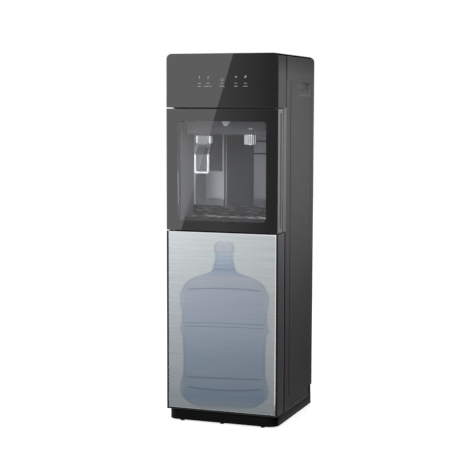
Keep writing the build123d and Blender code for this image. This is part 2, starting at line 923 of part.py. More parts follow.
def make_drip_tray():
    made = block(both(tray_half), tray_y, (niche_floor, tray_rim))
    made = fillet(upright(made), tray_corner)
    hollow = block(
        both(tray_half - tray_wall),
        (tray_y[0] + tray_wall, tray_y[1] - tray_wall),
        (niche_floor + tray_wall, tray_rim),
    )
    made -= fillet(upright(hollow), tray_corner - tray_wall)
    inner = tray_half - tray_wall - ledge_size
    for x in (-inner, inner):
        for y in (tray_y[0] + tray_wall + ledge_size, tray_y[1] - tray_wall - ledge_size):
            made += block(
                around(x, ledge_size), around(y, ledge_size), (niche_floor, grille_z[0])
            )
    return made


def make_drip_grille():
    margin = tray_wall + grille_play
    wide = tray_half - margin
    y = (tray_y[0] + margin, tray_y[1] - margin)
    made = fillet(upright(block(both(wide), y, grille_z)), tray_corner - margin)
    middle = (y[0] + y[1]) / 2
    slot_rows = [
        (y[0] + slot_margin, middle - slot_bridge / 2),
        (middle + slot_bridge / 2, y[1] - slot_margin),
    ]
    columns = int((wide - slot_margin - slot_width / 2) // slot_pitch)
    slots = [
        block(around(column * slot_pitch, slot_width / 2), row, grille_z)
        for column in range(-columns, columns + 1)
        for row in slot_rows
    ]
    return made - slots


# ---------------------------------------------------------------- machine room
ceiling_rise = 1.6         # the bay's ceiling, above the step in the frame
sheet = 2.0                # bay ceiling and tank shelf
compressor_gap = 36.5      # from its foot plate to the side panel
compressor_radius = 50.0
compressor_height = 118.0
compressor_dome = 18.0
compressor_feet = 56.0     # half width of its foot plate
foot_plate = 8.0
belt_height = 4.0
belt_proud = 3.0
tank_height = 170.0
tank_drop = 61.0           # the tanks' tops, below the side panels' tops
tank_wall = 1.5
tank_dome = 8.0
evaporator_thickness = 5.0
evaporator_margin = 25.0
heater_thickness = 5.0
heater_height = 40.0
heater_lift = 20.0
foam = 12.0
rear_gap = 3.0             # from the cold tank's foam to the back panel
niche_gap = 8.0            # from it to the niche
cold_side_gap = 7.5        # from it to the right side panel
hot_side_gap = 17.5        # from the hot tank's foam to the left side panel
tank_gap = 20.0            # between the two
pump_offset = 10.0         # the pump stands this far right of the cold tank's middle
pump_size = (60.0, 46.0, 52.0)
pump_spigot = 14.0
hose_radius = 4.5
hose_bore = 3.0
hose_bend = 12.0
suction_rise = 22.0        # the suction hose's turn, above the bay's ceiling

ceiling_z = (frame_step + ceiling_rise, frame_step + ceiling_rise + sheet)
tank_base = side_top - tank_drop - tank_height
tank_shelf_z = (tank_base - foam - sheet, tank_base - foam)
cold_jacket = (back_inside - rear_gap - niche_back - niche_gap) / 2
hot_jacket = inside - (hot_side_gap + tank_gap + cold_side_gap) / 2 - cold_jacket
cold_radius = cold_jacket - foam - evaporator_thickness
hot_radius = hot_jacket - foam - heater_thickness
cold_x = inside - cold_side_gap - cold_jacket
hot_x = -inside + hot_side_gap + hot_jacket
machine_y = back_inside - rear_gap - cold_jacket
compressor_x = -inside + compressor_gap + compressor_feet
pump_x = cold_x + pump_offset


def make_bay_ceiling():
    made = block(both(inside), (frame_back, back_inside), ceiling_z)
    return made - post(0, bottle_y, ceiling_z, hose_radius + fit_gap)


def make_tank_shelf():
    made = block(both(inside), (niche_back, back_inside), tank_shelf_z)
    return made - post(pump_x, machine_y, tank_shelf_z, hose_radius)


def make_compressor():
    low = ceiling_z[1]
    made = block(
        around(compressor_x, compressor_feet),
        around(machine_y, compressor_feet),
        (low, low + foot_plate),
    )
    made = fillet(upright(made), compressor_dome / 2)
    pot = post(
        compressor_x, machine_y, (low, low + foot_plate + compressor_height), compressor_radius
    )
    pot = fillet(pot.edges().group_by(Axis.Z)[-1], compressor_dome)
    seam = low + compressor_height / 2
    belt = (seam, seam + belt_height)
    return made + pot + post(compressor_x, machine_y, belt, compressor_radius + belt_proud)


def can(x, radius):
    """A closed steel tank with rounded ends."""
    outer = fillet(post(x, machine_y, tank_z, radius).edges(), tank_dome)
    hollow = (tank_z[0] + tank_wall, tank_z[1] - tank_wall)
    inner = post(x, machine_y, hollow, radius - tank_wall)
    return outer - fillet(inner.edges(), tank_dome - tank_wall)


def band(x, z, bore, wall):
    """A sleeve round a tank."""
    made = post(x, machine_y, z, bore + wall)
    return made - post(x, machine_y, z, bore)


tank_z = (tank_base, tank_base + tank_height)
evaporator_z = (tank_z[0] + evaporator_margin, tank_z[1] - evaporator_margin)
heater_z = (tank_z[0] + heater_lift, tank_z[0] + heater_lift + heater_height)
tap_line_z = tank_z[1] - evaporator_margin / 2


def make_tank_insulation():
    """Foam jackets of both tanks, with holes for the water lines."""
    low = (tank_z[0] - foam, tank_z[0])
    made = []
    for x, radius, line_x in ((cold_x, cold_jacket, tap_x), (hot_x, hot_jacket, -tap_x)):
        jacket = post(x, machine_y, (low[0], tank_z[1] + foam), radius)
        jacket -= post(x, machine_y, tank_z, radius - foam)
        jacket -= bar_y(line_x, (machine_y - radius, machine_y), tap_line_z, hose_radius)
        made.append(jacket)
    made[0] -= post(pump_x, machine_y, low, hose_radius)
    return Compound(children=made)


def make_pump():
    length, breadth, height = pump_size
    low = ceiling_z[1]
    made = block(
        around(pump_x, length / 2), around(machine_y, breadth / 2), (low, low + height)
    )
    made = fillet(upright(made), hose_bend / 2)
    spigot = (low + height, low + height + pump_spigot)
    return made + post(pump_x, machine_y, spigot, 2 * hose_radius)


def tap_line(x, tank_x, tank_radius):
    """From the nut of a tap, up behind the niche and into its tank."""
    start = tap_height + hood_wall + tap_nut_height
    low = start + 2 * hose_bend - hose_radius
    rise_y = (frame_back + niche_rear) / 2
    off = max(abs(x - tank_x) - hose_radius, 0)
    end = machine_y - (tank_radius ** 2 - off ** 2) ** 0.5
    points = [
        (x, tap_y, start), (x, tap_y, low), (x, rise_y, low),
        (x, rise_y, tap_line_z), (x, end, tap_line_z),
    ]
    return tube(points, hose_radius, hose_bore, hose_bend)


def make_water_lines():
    """Hoses: probe to pump, pump to cold tank, and each tank to its tap."""
    start = bottle_top + probe_height
    turn = ceiling_z[1] + suction_rise
    pump_face = pump_x - pump_size[0] / 2
    suction = tube(
        [(0, bottle_y, start), (0, bottle_y, turn), (pump_face / 2, machine_y, turn),
         (pump_face, machine_y, turn)],
        hose_radius, hose_bore, hose_bend,
    )
    outlet = (ceiling_z[1] + pump_size[2] + pump_spigot, tank_base)
    supply = post(pump_x, machine_y, outlet, hose_radius)
    supply -= post(pump_x, machine_y, outlet, hose_bore)
    return Compound(children=[
        suction,
        supply,
        tap_line(tap_x, cold_x, cold_radius),
        tap_line(-tap_x, hot_x, hot_radius),
    ])


# ---------------------------------------------------------------- condenser on the back
coil_radius = 2.4
coil_passes = 13
coil_pitch = 30.0
coil_side_gap = 4.1        # from its bends to the side panels' rear lips
coil_rise = 99.0           # its lowest pass, above the base
coil_stand_off = 9.0
wire_radius = 0.9
wire_count = 25
wire_inset = 6.0
wire_overrun = 12.0
clip_inset = 11.0
clip_half = (3.0, 6.0)
clip_rim = 2.5

coil_half = inside - rear_lip - coil_side_gap - coil_radius - coil_pitch / 2
coil_bottom = base_top + coil_rise
coil_y = back_face + coil_stand_off


def make_condenser_tube():
    """One tube to and fro across the back, with both ends through the panel."""
    reach = coil_pitch / 2
    edges = []
    side = -1
    for row in range(coil_passes):
        z = coil_bottom + row * coil_pitch
        side = -side
        edges.append(Line((-side * coil_half, coil_y, z), (side * coil_half, coil_y, z)))
        if row < coil_passes - 1:
            edges.append(ThreePointArc(
                (side * coil_half, coil_y, z),
                (side * (coil_half + reach), coil_y, z + reach),
                (side * coil_half, coil_y, z + coil_pitch),
            ))
    path = Wire(edges)
    made = sweep(Plane(path @ 0, z_dir=path % 0) * Circle(coil_radius), path)
    for x, row in ((-coil_half, 0), (side * coil_half, coil_passes - 1)):
        z = coil_bottom + row * coil_pitch
        made += Pos(x, coil_y, z) * Sphere(coil_radius)
        made += bar_y(x, (back_face, coil_y), z, coil_radius)
    return made


def make_condenser_wires():
    low = coil_bottom - wire_overrun
    high = coil_bottom + (coil_passes - 1) * coil_pitch + wire_overrun
    step = 2 * (coil_half - wire_inset) / (wire_count - 1)
    made = []
    for place in range(wire_count):
        x = -coil_half + wire_inset + place * step
        side = 1 if place % 2 == 0 else -1
        y = coil_y + side * (coil_radius + wire_radius)
        made.append(post(x, y, (low, high), wire_radius))
    return Compound(children=made)


def make_condenser_clips():
    """Four clips that hold the coil off the back panel."""
    made = []
    y = (back_face, coil_y + coil_radius + clip_rim)
    for row in (1, coil_passes - 2):
        z = coil_bottom + row * coil_pitch
        for x in both(coil_half - clip_inset):
            clip = block(around(x, clip_half[0]), y, around(z, clip_half[1]))
            bore = around(x, clip_half[0])
            made.append(clip - bar_x(bore, coil_y, z, coil_radius + running_gap))
    return Compound(children=made)


# ---------------------------------------------------------------- back fittings
inlet_flange = 5.0
inlet_proud = 3.0
inlet_body = 18.0
inlet_wall = 2.0
inlet_mouth = 15.0
blade_half = (1.0, 2.5)
blade_places = ((-6.0, -2.0), (0.0, 3.0), (6.0, -2.0))


def make_power_inlet():
    """Three-pole socket that a mains lead plugs into."""
    wide, tall = inlet_half
    face = back_face + inlet_proud
    made = block(
        around(inlet_x, wide), (back_inside - inlet_body, back_face), around(inlet_z, tall)
    )
    made += block(
        around(inlet_x, wide + inlet_flange),
        (back_face, face),
        around(inlet_z, tall + inlet_flange),
    )
    made -= block(
        around(inlet_x, wide - inlet_wall),
        (face - inlet_mouth, face),
        around(inlet_z, tall - inlet_wall),
    )
    for x, z in blade_places:
        made += block(
            around(inlet_x + x, blade_half[0]),
            (face - inlet_mouth, face - inlet_proud),
            around(inlet_z + z, blade_half[1]),
        )
    return made


switch_flange = 4.0
switch_proud = 2.0
well_depth = 9.0
rocker_tilt = 8.0
rocker_pin = 1.5
rocker_back = 4.0
rocker_front = 3.0
rocker_dish = 0.8
rocker_taper = 2.5


def make_switch_plate():
    """Plate with a well for each rocker."""
    wide, tall = well_half
    face = back_face + switch_proud
    made = block(
        around(switch_x, wide + switch_flange),
        (back_face, face),
        around(switch_z, switch_pitch / 2 + tall + switch_flange),
    )
    for place in (-0.5, 0.5):
        z = switch_z + place * switch_pitch
        well = (back_inside - well_depth, face)
        made += block(around(switch_x, wide), well, around(z, tall))
        made -= block(
            around(switch_x, wide - well_wall),
            (well[0] + well_wall, face),
            around(z, tall - well_wall),
        )
        made -= bar_x(around(switch_x, wide), back_face, z, rocker_pin + running_gap)
    return made


def make_rocker(place):
    """A rocker key on its own cross pin, resting tipped to one side."""
    z = switch_z + place * switch_pitch
    wide, tall = rocker_half
    key = plate_yz(
        [
            (-rocker_back, -tall + rocker_taper),
            (-rocker_back, tall - rocker_taper),
            (rocker_front, tall),
            (rocker_front - rocker_dish, 0),
            (rocker_front, -tall),
        ],
        both(wide),
    )
    pin = bar_x(both(wide + rocker_play + well_wall / 2), 0, 0, rocker_pin)
    return Pos(switch_x, back_face, z) * Rot(rocker_tilt, 0, 0) * (key + pin)


drain_flange = 5.0
drain_flange_thickness = 2.0
drain_inside = 22.0
drain_proud = 14.0
drain_bore = 5.0
drain_cap_radius = 12.0
drain_cap_wall = 3.0
drain_cap_gap = 1.0
drain_flutes = 12
flute_radius = 2.0


def make_drain_pipe():
    y = (back_inside - drain_inside, back_face + drain_proud)
    flange = (back_face, back_face + drain_flange_thickness)
    made = bar_y(drain_x, y, drain_z, drain_radius - running_gap)
    made += bar_y(drain_x, flange, drain_z, drain_radius + drain_flange)
    return made - bar_y(drain_x, y, drain_z, drain_bore)


def make_drain_cap():
    """Push-on cap, fluted for the fingers."""
    start = back_face + drain_flange_thickness + drain_cap_gap
    floor = back_face + drain_proud + fit_gap
    y = (start, floor + drain_cap_wall)
    made = bar_y(drain_x, y, drain_z, drain_cap_radius)
    for turn in range(drain_flutes):
        angle = radians(360 / drain_flutes * turn)
        centre = drain_cap_radius + flute_radius / 2
        made -= bar_y(
            drain_x + centre * cos(angle), y, drain_z + centre * sin(angle), flute_radius
        )
    return made - bar_y(drain_x, (start, floor), drain_z, drain_radius)


# ---------------------------------------------------------------- electronics on top
shelf_thickness = 2.0
standoff_height = 8.0
standoff_radius = 4.0
standoff_inset = 8.0
power_half = 90.0
power_set_back = 77.0       # its front edge, behind the head
power_depth = 110.0
# Large parts: middle in X, middle in Y from the board's front edge, length, breadth, height
transformer = (-47.5, 42.5, 45.0, 45.0, 32.0)
relay = (7.5, 45.0, 25.0, 30.0, 16.0)
heat_sink = (55.0, 83.0, 40.0, 26.0, 20.0)

shelf_z = (side_top, side_top + shelf_thickness)
power_y = (head_back + power_set_back, head_back + power_set_back + power_depth)


def make_electronics_tray():
    made = block(both(half - moulding), (head_back, back - moulding), shelf_z)
    for x in both(power_half - standoff_inset):
        for y in (power_y[0] + standoff_inset, power_y[1] - standoff_inset):
            made += post(x, y, (shelf_z[0], shelf_z[1] + standoff_height), standoff_radius)
    return made


def make_power_board():
    low = shelf_z[1] + standoff_height
    top = low + board_thickness
    made = block(both(power_half), power_y, (low, top))
    for x, y, length, breadth, height in (transformer, relay, heat_sink):
        middle = power_y[0] + y
        made += block(around(x, length / 2), around(middle, breadth / 2), (top, top + height))
    return made


# ---------------------------------------------------------------- screws
screw_radius = 3.5
screw_height = 2.0
screw_round = 0.8
screw_inset = 20.0
screw_margin = 40.0        # the lowest and the highest row, in from the panel's ends
screw_row_count = 5


def make_screws():
    made = []
    y = (back_face, back_face + screw_height)
    low = rear_post_top + screw_margin
    step = (side_top - screw_margin - low) / (screw_row_count - 1)
    for x in both(inside - screw_inset):
        for row in range(screw_row_count):
            z = low + row * step
            head = bar_y(x, y, z, screw_radius)
            made.append(fillet(head.edges().group_by(Axis.Y)[-1], screw_round))
    return Compound(children=made)


# ---------------------------------------------------------------- write every piece
pieces = {
    "base": make_base,
    "rubber_feet": make_rubber_feet,
    "bottle_floor": make_bottle_floor,
    "water_bottle": make_water_bottle,
    "bottle_cap": make_bottle_cap,
    "suction_probe": make_suction_probe,
    "pillar_left": lambda: make_pillar(-1),
    "pillar_right": lambda: make_pillar(1),
    "middle_beam": make_middle_beam,
    "head_beam": make_head_beam,
    "side_panel_left": lambda: make_side_panel(-1),
    "side_panel_right": lambda: make_side_panel(1),
    "grip_cup_left": lambda: make_grip_cup(-1),
    "grip_cup_right": lambda: make_grip_cup(1),
    "back_panel": make_back_panel,
    "top_cover": make_top_cover,
    "head_shell": make_head_shell,
    "head_glass": make_head_glass,
    "display_board": make_display_board,
    "upper_door_frame": make_upper_door_frame,
    "upper_door_glass": make_upper_door_glass,
    "window_mask": make_window_mask,
    "upper_door_seal": make_upper_door_seal,
    "lower_door_frame": make_lower_door_frame,
    "lower_door_panel": make_lower_door_panel,
    "lower_door_seal": make_lower_door_seal,
    "hinge_plates": make_hinge_plates,
    "niche_liner": make_niche_liner,
    "splash_plate_left": make_splash_plate_left,
    "splash_plate_right": make_splash_plate_right,
    "tap_hood": make_tap_hood,
    "niche_lamp": make_niche_lamp,
    "hot_tap_body": make_hot_tap_body,
    "hot_lever": make_hot_lever,
    "hot_paddle": make_hot_paddle,
    "cold_nozzle": make_cold_nozzle,
    "drip_tray": make_drip_tray,
    "drip_grille": make_drip_grille,
    "bay_ceiling": make_bay_ceiling,
    "tank_shelf": make_tank_shelf,
    "compressor": make_compressor,
    "cold_tank": lambda: can(cold_x, cold_radius),
    "evaporator_sleeve": lambda: band(cold_x, evaporator_z, cold_radius, evaporator_thickness),
    "hot_tank": lambda: can(hot_x, hot_radius),
    "heater_band": lambda: band(hot_x, heater_z, hot_radius, heater_thickness),
    "tank_insulation": make_tank_insulation,
    "pump": make_pump,
    "water_lines": make_water_lines,
    "condenser_tube": make_condenser_tube,
    "condenser_wires": make_condenser_wires,
    "condenser_clips": make_condenser_clips,
    "power_inlet": make_power_inlet,
    "switch_plate": make_switch_plate,
    "rocker_hot": lambda: make_rocker(0.5),
    "rocker_cold": lambda: make_rocker(-0.5),
    "drain_pipe": make_drain_pipe,
    "drain_cap": make_drain_cap,
    "electronics_tray": make_electronics_tray,
    "power_board": make_power_board,
    "screws": make_screws,
}
for name, make in pieces.items():
    export_step(make(), f"parts/{name}.step")
print(len(pieces), "pieces, overall height", total_height)
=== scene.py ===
import bpy
import math
import numpy as np
from mathutils import Matrix, Vector


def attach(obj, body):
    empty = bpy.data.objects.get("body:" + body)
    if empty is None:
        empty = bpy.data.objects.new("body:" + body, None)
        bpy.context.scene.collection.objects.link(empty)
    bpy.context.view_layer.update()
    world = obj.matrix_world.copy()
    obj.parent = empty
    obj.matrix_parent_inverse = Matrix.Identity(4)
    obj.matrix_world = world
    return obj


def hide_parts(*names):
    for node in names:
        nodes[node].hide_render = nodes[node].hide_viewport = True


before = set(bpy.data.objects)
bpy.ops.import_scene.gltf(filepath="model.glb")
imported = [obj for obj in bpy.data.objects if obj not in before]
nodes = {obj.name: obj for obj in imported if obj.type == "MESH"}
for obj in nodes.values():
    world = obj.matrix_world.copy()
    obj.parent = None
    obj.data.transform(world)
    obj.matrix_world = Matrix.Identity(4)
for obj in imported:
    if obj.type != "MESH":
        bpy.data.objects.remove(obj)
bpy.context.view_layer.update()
scene = bpy.context.scene
print("frame loaded:", len(nodes), "nodes")


# Node helpers

# sRGB hex to linear red, green, blue and a full alpha
def linear(hexColour):
    parts = [int(hexColour[i:i + 2], 16) / 255 for i in (1, 3, 5)]
    return tuple(c / 12.92 if c <= 0.04045 else ((c + 0.055) / 1.055) ** 2.4 for c in parts) + (1.0,)


# Adds one node: plain words set its properties, and each socket takes a value or another node's output
def addNode(tree, kind, sockets=None, **settings):
    node = tree.nodes.new(kind)
    for name, value in settings.items():
        setattr(node, name, value)
    for name, value in (sockets or {}).items():
        if isinstance(value, bpy.types.NodeSocket):
            tree.links.new(value, node.inputs[name])
        else:
            node.inputs[name].default_value = value
    return node


# The helpers below add one node each and hand back its output

def calc(tree, operation, *values):
    return addNode(tree, "ShaderNodeMath", dict(enumerate(values)), operation=operation).outputs[0]


# Carries a value from one range to another and keeps it within that
def remap(tree, value, start, end, low=0.0, high=1.0, way="LINEAR"):
    return addNode(tree, "ShaderNodeMapRange", {"Value": value, "From Min": start, "From Max": end,
                                                "To Min": low, "To Max": high}, interpolation_type=way).outputs[0]


# Mixes two colours, each a hex colour or an output
def blend(tree, share, first, second, way="MIX"):
    first, second = (linear(colour) if isinstance(colour, str) else colour for colour in (first, second))
    return addNode(tree, "ShaderNodeMix", {0: share, 6: first, 7: second}, data_type="RGBA", blend_type=way).outputs[2]


def noise(tree, place, scale, detail, distortion=0.0):
    return addNode(tree, "ShaderNodeTexNoise", {"Vector": place, "Scale": scale, "Detail": detail,
                                                "Distortion": distortion}).outputs["Fac"]


def scaled(tree, place, scales):
    return addNode(tree, "ShaderNodeMapping", {"Vector": place, "Scale": scales}).outputs[0]


def along(tree, place, axis):
    return addNode(tree, "ShaderNodeSeparateXYZ", {"Vector": place}).outputs[axis]


# Relief of a height in millimetres
def bump(tree, height, strength, depth):
    return addNode(tree, "ShaderNodeBump", {"Height": height, "Strength": strength,
                                            "Distance": depth / 1000}).outputs[0]


def principled(tree, sockets):
    return addNode(tree, "ShaderNodeBsdfPrincipled", sockets).outputs[0]


def emission(tree, strength):
    return addNode(tree, "ShaderNodeEmission", {"Strength": strength}).outputs[0]


def mixed(tree, share, first, second):
    return addNode(tree, "ShaderNodeMixShader", {0: share, 1: first, 2: second}).outputs[0]


def surface(tree, shader):
    addNode(tree, "ShaderNodeOutputMaterial", {"Surface": shader})


def newMaterial(name):
    material = bpy.data.materials.new(name)
    material.use_nodes = True
    material.node_tree.nodes.clear()
    return material, material.node_tree


# The same with the place on the piece, in metres from the shared origin
def placedMaterial(name):
    material, tree = newMaterial(name)
    return material, tree, addNode(tree, "ShaderNodeTexCoord").outputs["Object"]


# Camera, lamps and floor

cameraPlace = {
    "at": (1.2833, -3.5552, 0.9013),   # metres
    "turn": 20.058, "tilt": 5.702, "roll": 0.179,   # degrees
    "lens": 97.87,
}
turn, tilt, roll = (math.radians(cameraPlace[k]) for k in ("turn", "tilt", "roll"))
backwards = Vector((math.sin(turn) * math.cos(tilt), -math.cos(turn) * math.cos(tilt), math.sin(tilt)))
across = Vector((0, 0, 1)).cross(backwards).normalized()
upwards = backwards.cross(across)
rolledX = across * math.cos(roll) + upwards * math.sin(roll)
rolledY = upwards * math.cos(roll) - across * math.sin(roll)
cameraData = bpy.data.cameras.new("camera")
cameraData.lens = cameraPlace["lens"]
cameraData.sensor_width = 36
cameraObject = bpy.data.objects.new("camera", cameraData)
cameraObject.matrix_world = Matrix.Translation(cameraPlace["at"]) @ Matrix(
    (rolledX, rolledY, backwards)).transposed().to_4x4()
scene.collection.objects.link(cameraObject)
scene.camera = cameraObject
scene.view_settings.view_transform = "Standard"

# place, point it faces, width, height in metres, and power in watts
lamps = {
    "sideBox": ((0.85, -0.3, 0.93), (0.1675, 0.0, 0.75), 0.3, 0.4, 2.75),
    "frontBox": ((0.2, -1.35, 1.6), (0.0, -0.17, 0.8), 0.9, 0.4, 15.0),
    "leftBox": ((-1.3, -0.3, 1.3), (-0.1675, 0.0, 0.7), 0.6, 0.8, 12.0),
    "backBox": ((-0.3, 1.6, 1.5), (0.0, 0.17, 0.6), 1.0, 0.8, 20.0),
    "topBox": ((0.0, -0.1, 2.7), (0.0, 0.0, 1.0), 1.2, 1.2, 7.0),
}
for name, (place, target, wide, tall, power) in lamps.items():
    lampData = bpy.data.lights.new(name, "AREA")
    lampData.shape = "RECTANGLE"
    lampData.size, lampData.size_y, lampData.energy = wide, tall, power
    lamp = bpy.data.objects.new(name, lampData)
    lamp.location = place
    lamp.rotation_euler = (Vector(target) - Vector(place)).to_track_quat("-Z", "Y").to_euler()
    lamp.visible_camera = False
    scene.collection.objects.link(lamp)

room = {"ambient": "#858587", "backdrop": "#ffffff", "floor": "#a6a6a6", "floorLift": 0.78, "fade": (0.5, 1.6),
        "reach": 9.0}


# One for rays that see the backdrop as white: straight, mirrored or through glass
def seenRay(tree):
    rays = addNode(tree, "ShaderNodeLightPath").outputs
    some = calc(tree, "MAXIMUM", rays["Is Camera Ray"], rays["Is Glossy Ray"])
    return calc(tree, "MAXIMUM", some, rays["Is Transmission Ray"])


world = bpy.data.worlds.new("studio")
scene.world = world
world.use_nodes = True
air = world.node_tree
air.nodes.clear()
ambient, white = (addNode(air, "ShaderNodeBackground", {"Color": linear(room[k])}).outputs[0]
                  for k in ("ambient", "backdrop"))
addNode(air, "ShaderNodeOutputWorld", {"Surface": mixed(air, seenRay(air), ambient, white)})

floorPaint, tree, place = placedMaterial("studio floor paint")   # plain and matt, so that only the shadow shows
matt = addNode(tree, "ShaderNodeBsdfDiffuse", {"Color": linear(room["floor"])}).outputs[0]
distance = addNode(tree, "ShaderNodeVectorMath", {0: place}, operation="LENGTH").outputs["Value"]
lifted = calc(tree, "MULTIPLY", seenRay(tree), remap(tree, distance, *room["fade"], room["floorLift"], 1.0))
surface(tree, addNode(tree, "ShaderNodeAddShader", {0: matt, 1: emission(tree, lifted)}).outputs[0])


# Points as an array of corners and faces as lists of corner numbers
def makeMesh(name, corners, faces, material, smooth=False):
    mesh = bpy.data.meshes.new(name)
    mesh.from_pydata(np.asarray(corners, float).reshape(-1, 3).tolist(), [], faces)
    mesh.materials.append(material)
    if smooth:
        mesh.shade_smooth()
    mesh.update()
    piece = bpy.data.objects.new(name, mesh)
    scene.collection.objects.link(piece)
    return piece


reach = room["reach"]
floor = makeMesh("studioFloor", [(-reach, -reach, 0), (reach, -reach, 0), (reach, reach, 0), (-reach, reach, 0)],
                 [(0, 1, 2, 3)], floorPaint)


# A bright card that only shows as the mirrored light on the left of the black glass
card = {"edge": ((-0.826, 1.154), (-1.09, 0.317)), "depth": -2.5, "width": 2.6, "low": -0.4, "high": 2.6,
        "strength": 2.6}


# Upright sheet of the card's height, given the two ends of its foot and of its top
def standing(name, depth, low, high, material):
    (lowLeft, lowRight), (highLeft, highRight) = low, high
    return makeMesh(name, [(lowLeft, depth, card["low"]), (lowRight, depth, card["low"]),
                           (highRight, depth, card["high"]), (highLeft, depth, card["high"])],
                    [(0, 1, 2, 3)], material)


cardPaper, tree = newMaterial("reflector card")
surface(tree, emission(tree, card["strength"]))
(xTop, zTop), (xFoot, zFoot) = card["edge"]
slant = (xTop - xFoot) / (zTop - zFoot)
edgeLow, edgeHigh = (xTop + slant * (z - zTop) for z in (card["low"], card["high"]))
cardPiece = standing("reflectorCard", card["depth"], (edgeLow - card["width"], edgeLow),
                     (edgeHigh - card["width"], edgeHigh), cardPaper)
# A duller card beyond it: it takes the gloss down towards the right of the glass
dimCard = {"fade": (-0.90, -0.64), "depth": -2.52, "ends": (-1.50, 2.5), "strength": (1.0, 0.42)}
dimPaper, tree, place = placedMaterial("dim reflector card")
surface(tree, emission(tree, remap(tree, along(tree, place, "X"), *dimCard["fade"], *dimCard["strength"])))
dimPiece = standing("dimCard", dimCard["depth"], dimCard["ends"], dimCard["ends"], dimPaper)
# Black felt on the right, on the floor and upright: it only shows as the dark foot of the gloss on that side
felt = {"near": -0.35, "far": 4.5, "left": 0.19, "right": 3.0, "lift": 0.001, "wallAt": 0.80, "wallHeight": 0.38,
        "over": ((-3.0, 6.0), (0.3, 2.2), (8.0, 1.35))}    # its canopy: sides, then depth and height of both ends
near, far, lift, wallAt, wallHeight = (felt[k] for k in ("near", "far", "lift", "wallAt", "wallHeight"))
(overLeft, overRight), nearOver, farOver = felt["over"]
feltCloth, tree = newMaterial("black felt")
surface(tree, addNode(tree, "ShaderNodeBsdfDiffuse", {"Color": linear("#050505")}).outputs[0])
feltPiece = makeMesh("feltScreen", [
    (felt["left"], near, lift), (felt["right"], near, lift), (felt["right"], far, lift), (felt["left"], far, lift),
    (wallAt, near, lift), (wallAt, far, lift), (wallAt, far, wallHeight), (wallAt, near, wallHeight),
    (overLeft, *nearOver), (overRight, *nearOver), (overRight, *farOver), (overLeft, *farOver),
], [(0, 1, 2, 3), (4, 5, 6, 7), (8, 9, 10, 11)], feltCloth)
for prop in (cardPiece, dimPiece, feltPiece):
    for way in ("camera", "diffuse", "transmission", "shadow", "volume_scatter"):
        setattr(prop, "visible_" + way, False)
print("camera, lamps and floor placed")


# Materials

noiseRange = (0.3, 0.7)      # where most values of a noise lie


# ABS or polypropylene from a spark-eroded mould: satin, with a faint clouding and a fine grain.
# Its real grain of about 0.1 mm is too fine to show, so it is drawn at grain millimetres.
# Each mark is an axis, where a zone starts and ends on it, its colour and the softness of its ends.
def mouldedPlastic(name, colour, paler, roughness, grain, depth, sheen=0.5, marks=()):
    material, tree, place = placedMaterial(name)
    pits = noise(tree, place, 1000 / grain, 2.0)
    tone = blend(tree, noise(tree, place, 6.0, 3.0), colour, paler)    # clouds about 170 mm across
    for axis, start, end, zoneColour, soft in marks:
        away = calc(tree, "ABSOLUTE", calc(tree, "SUBTRACT", along(tree, place, axis), (start + end) / 2))
        half = (end - start) / 2
        tone = blend(tree, remap(tree, away, half + soft, half - soft), tone, zoneColour)
    satin = remap(tree, pits, *noiseRange, roughness - 0.05, roughness + 0.06)
    surface(tree, principled(tree, {"Base Color": tone, "Roughness": satin, "Specular IOR Level": sheen,
                                    "Normal": bump(tree, pits, 0.5, depth)}))
    return material


# Metal drawn over an abrasive belt: long fine lines that streak its gloss along X.
# The real lines are about 0.05 mm apart. A foot is a height, a colour and a ripple in metres:
# below that height the colour is painted darker with a rippled edge, a painted reflection of the rippled tray.
def brushedMetal(name, colour, darker, roughness, foot=None):
    pitch, stretch, depth = 0.9, 30, 0.03      # drawn pitch in mm, the lines' length over it, their depth in mm
    swirl, edgeSoft = 90.0, 0.003              # ripples per metre, softness of the foot's edge in metres
    material, tree, place = placedMaterial(name)
    thin = 1000 / pitch
    lines = noise(tree, scaled(tree, place, (thin / stretch, thin, thin)), 1.0, 3.0)
    tone = blend(tree, lines, darker, colour)
    if foot:
        height, trayReflectionColour, ripple = foot
        edge = calc(tree, "MULTIPLY_ADD", noise(tree, place, swirl, 2.0), ripple, along(tree, place, "Z"))
        middle = height + ripple / 2
        tone = blend(tree, remap(tree, edge, middle + edgeSoft, middle - edgeSoft), tone, trayReflectionColour)
    satin = remap(tree, lines, *noiseRange, roughness - 0.06, roughness + 0.06)
    surface(tree, principled(tree, {"Base Color": tone, "Metallic": 1.0, "Roughness": satin,
                                    "Normal": bump(tree, lines, 0.4, depth)}))
    return material


# Clear or tinted wall that lamps shine through: float glass, polycarbonate or tube
def clearWall(name, tint, shadowTint, roughness, ior, ripple):
    material, tree, place = placedMaterial(name)
    wavy = bump(tree, noise(tree, place, 14.0, 1.0), 0.3, ripple)      # waves about 70 mm long
    shader = principled(tree, {"Base Color": linear(tint), "Roughness": roughness, "IOR": ior,
                               "Transmission Weight": 1.0, "Normal": wavy})
    through = addNode(tree, "ShaderNodeBsdfTransparent", {"Color": linear(shadowTint)}).outputs[0]
    rays = addNode(tree, "ShaderNodeLightPath").outputs
    surface(tree, mixed(tree, rays["Is Shadow Ray"], shader, through))
    return material


# Glass with black enamel fired on its back: all that shows is a deep black under a mirror-like gloss
def enamelledGlass(name, colour, second):
    material, tree, place = placedMaterial(name)
    tone = blend(tree, noise(tree, place, 12.0, 2.0), colour, second)
    surface(tree, principled(tree, {"Base Color": tone, "Roughness": 0.0, "IOR": 1.5}))
    return material


# Glossy moulding or steel with uneven waves, painted pale on their crests as short streaks, painted highlights: waves
# per metre along X, Y, Z
def waved(name, dark, pale, roughness, metallic, waves, crest):
    material, tree, place = placedMaterial(name)
    high = remap(tree, noise(tree, scaled(tree, place, waves), 1.0, 2.0, 0.6), *crest, way="SMOOTHSTEP")
    surface(tree, principled(tree, {"Base Color": blend(tree, high, dark, pale), "Metallic": metallic,
                                    "Roughness": roughness}))
    return material


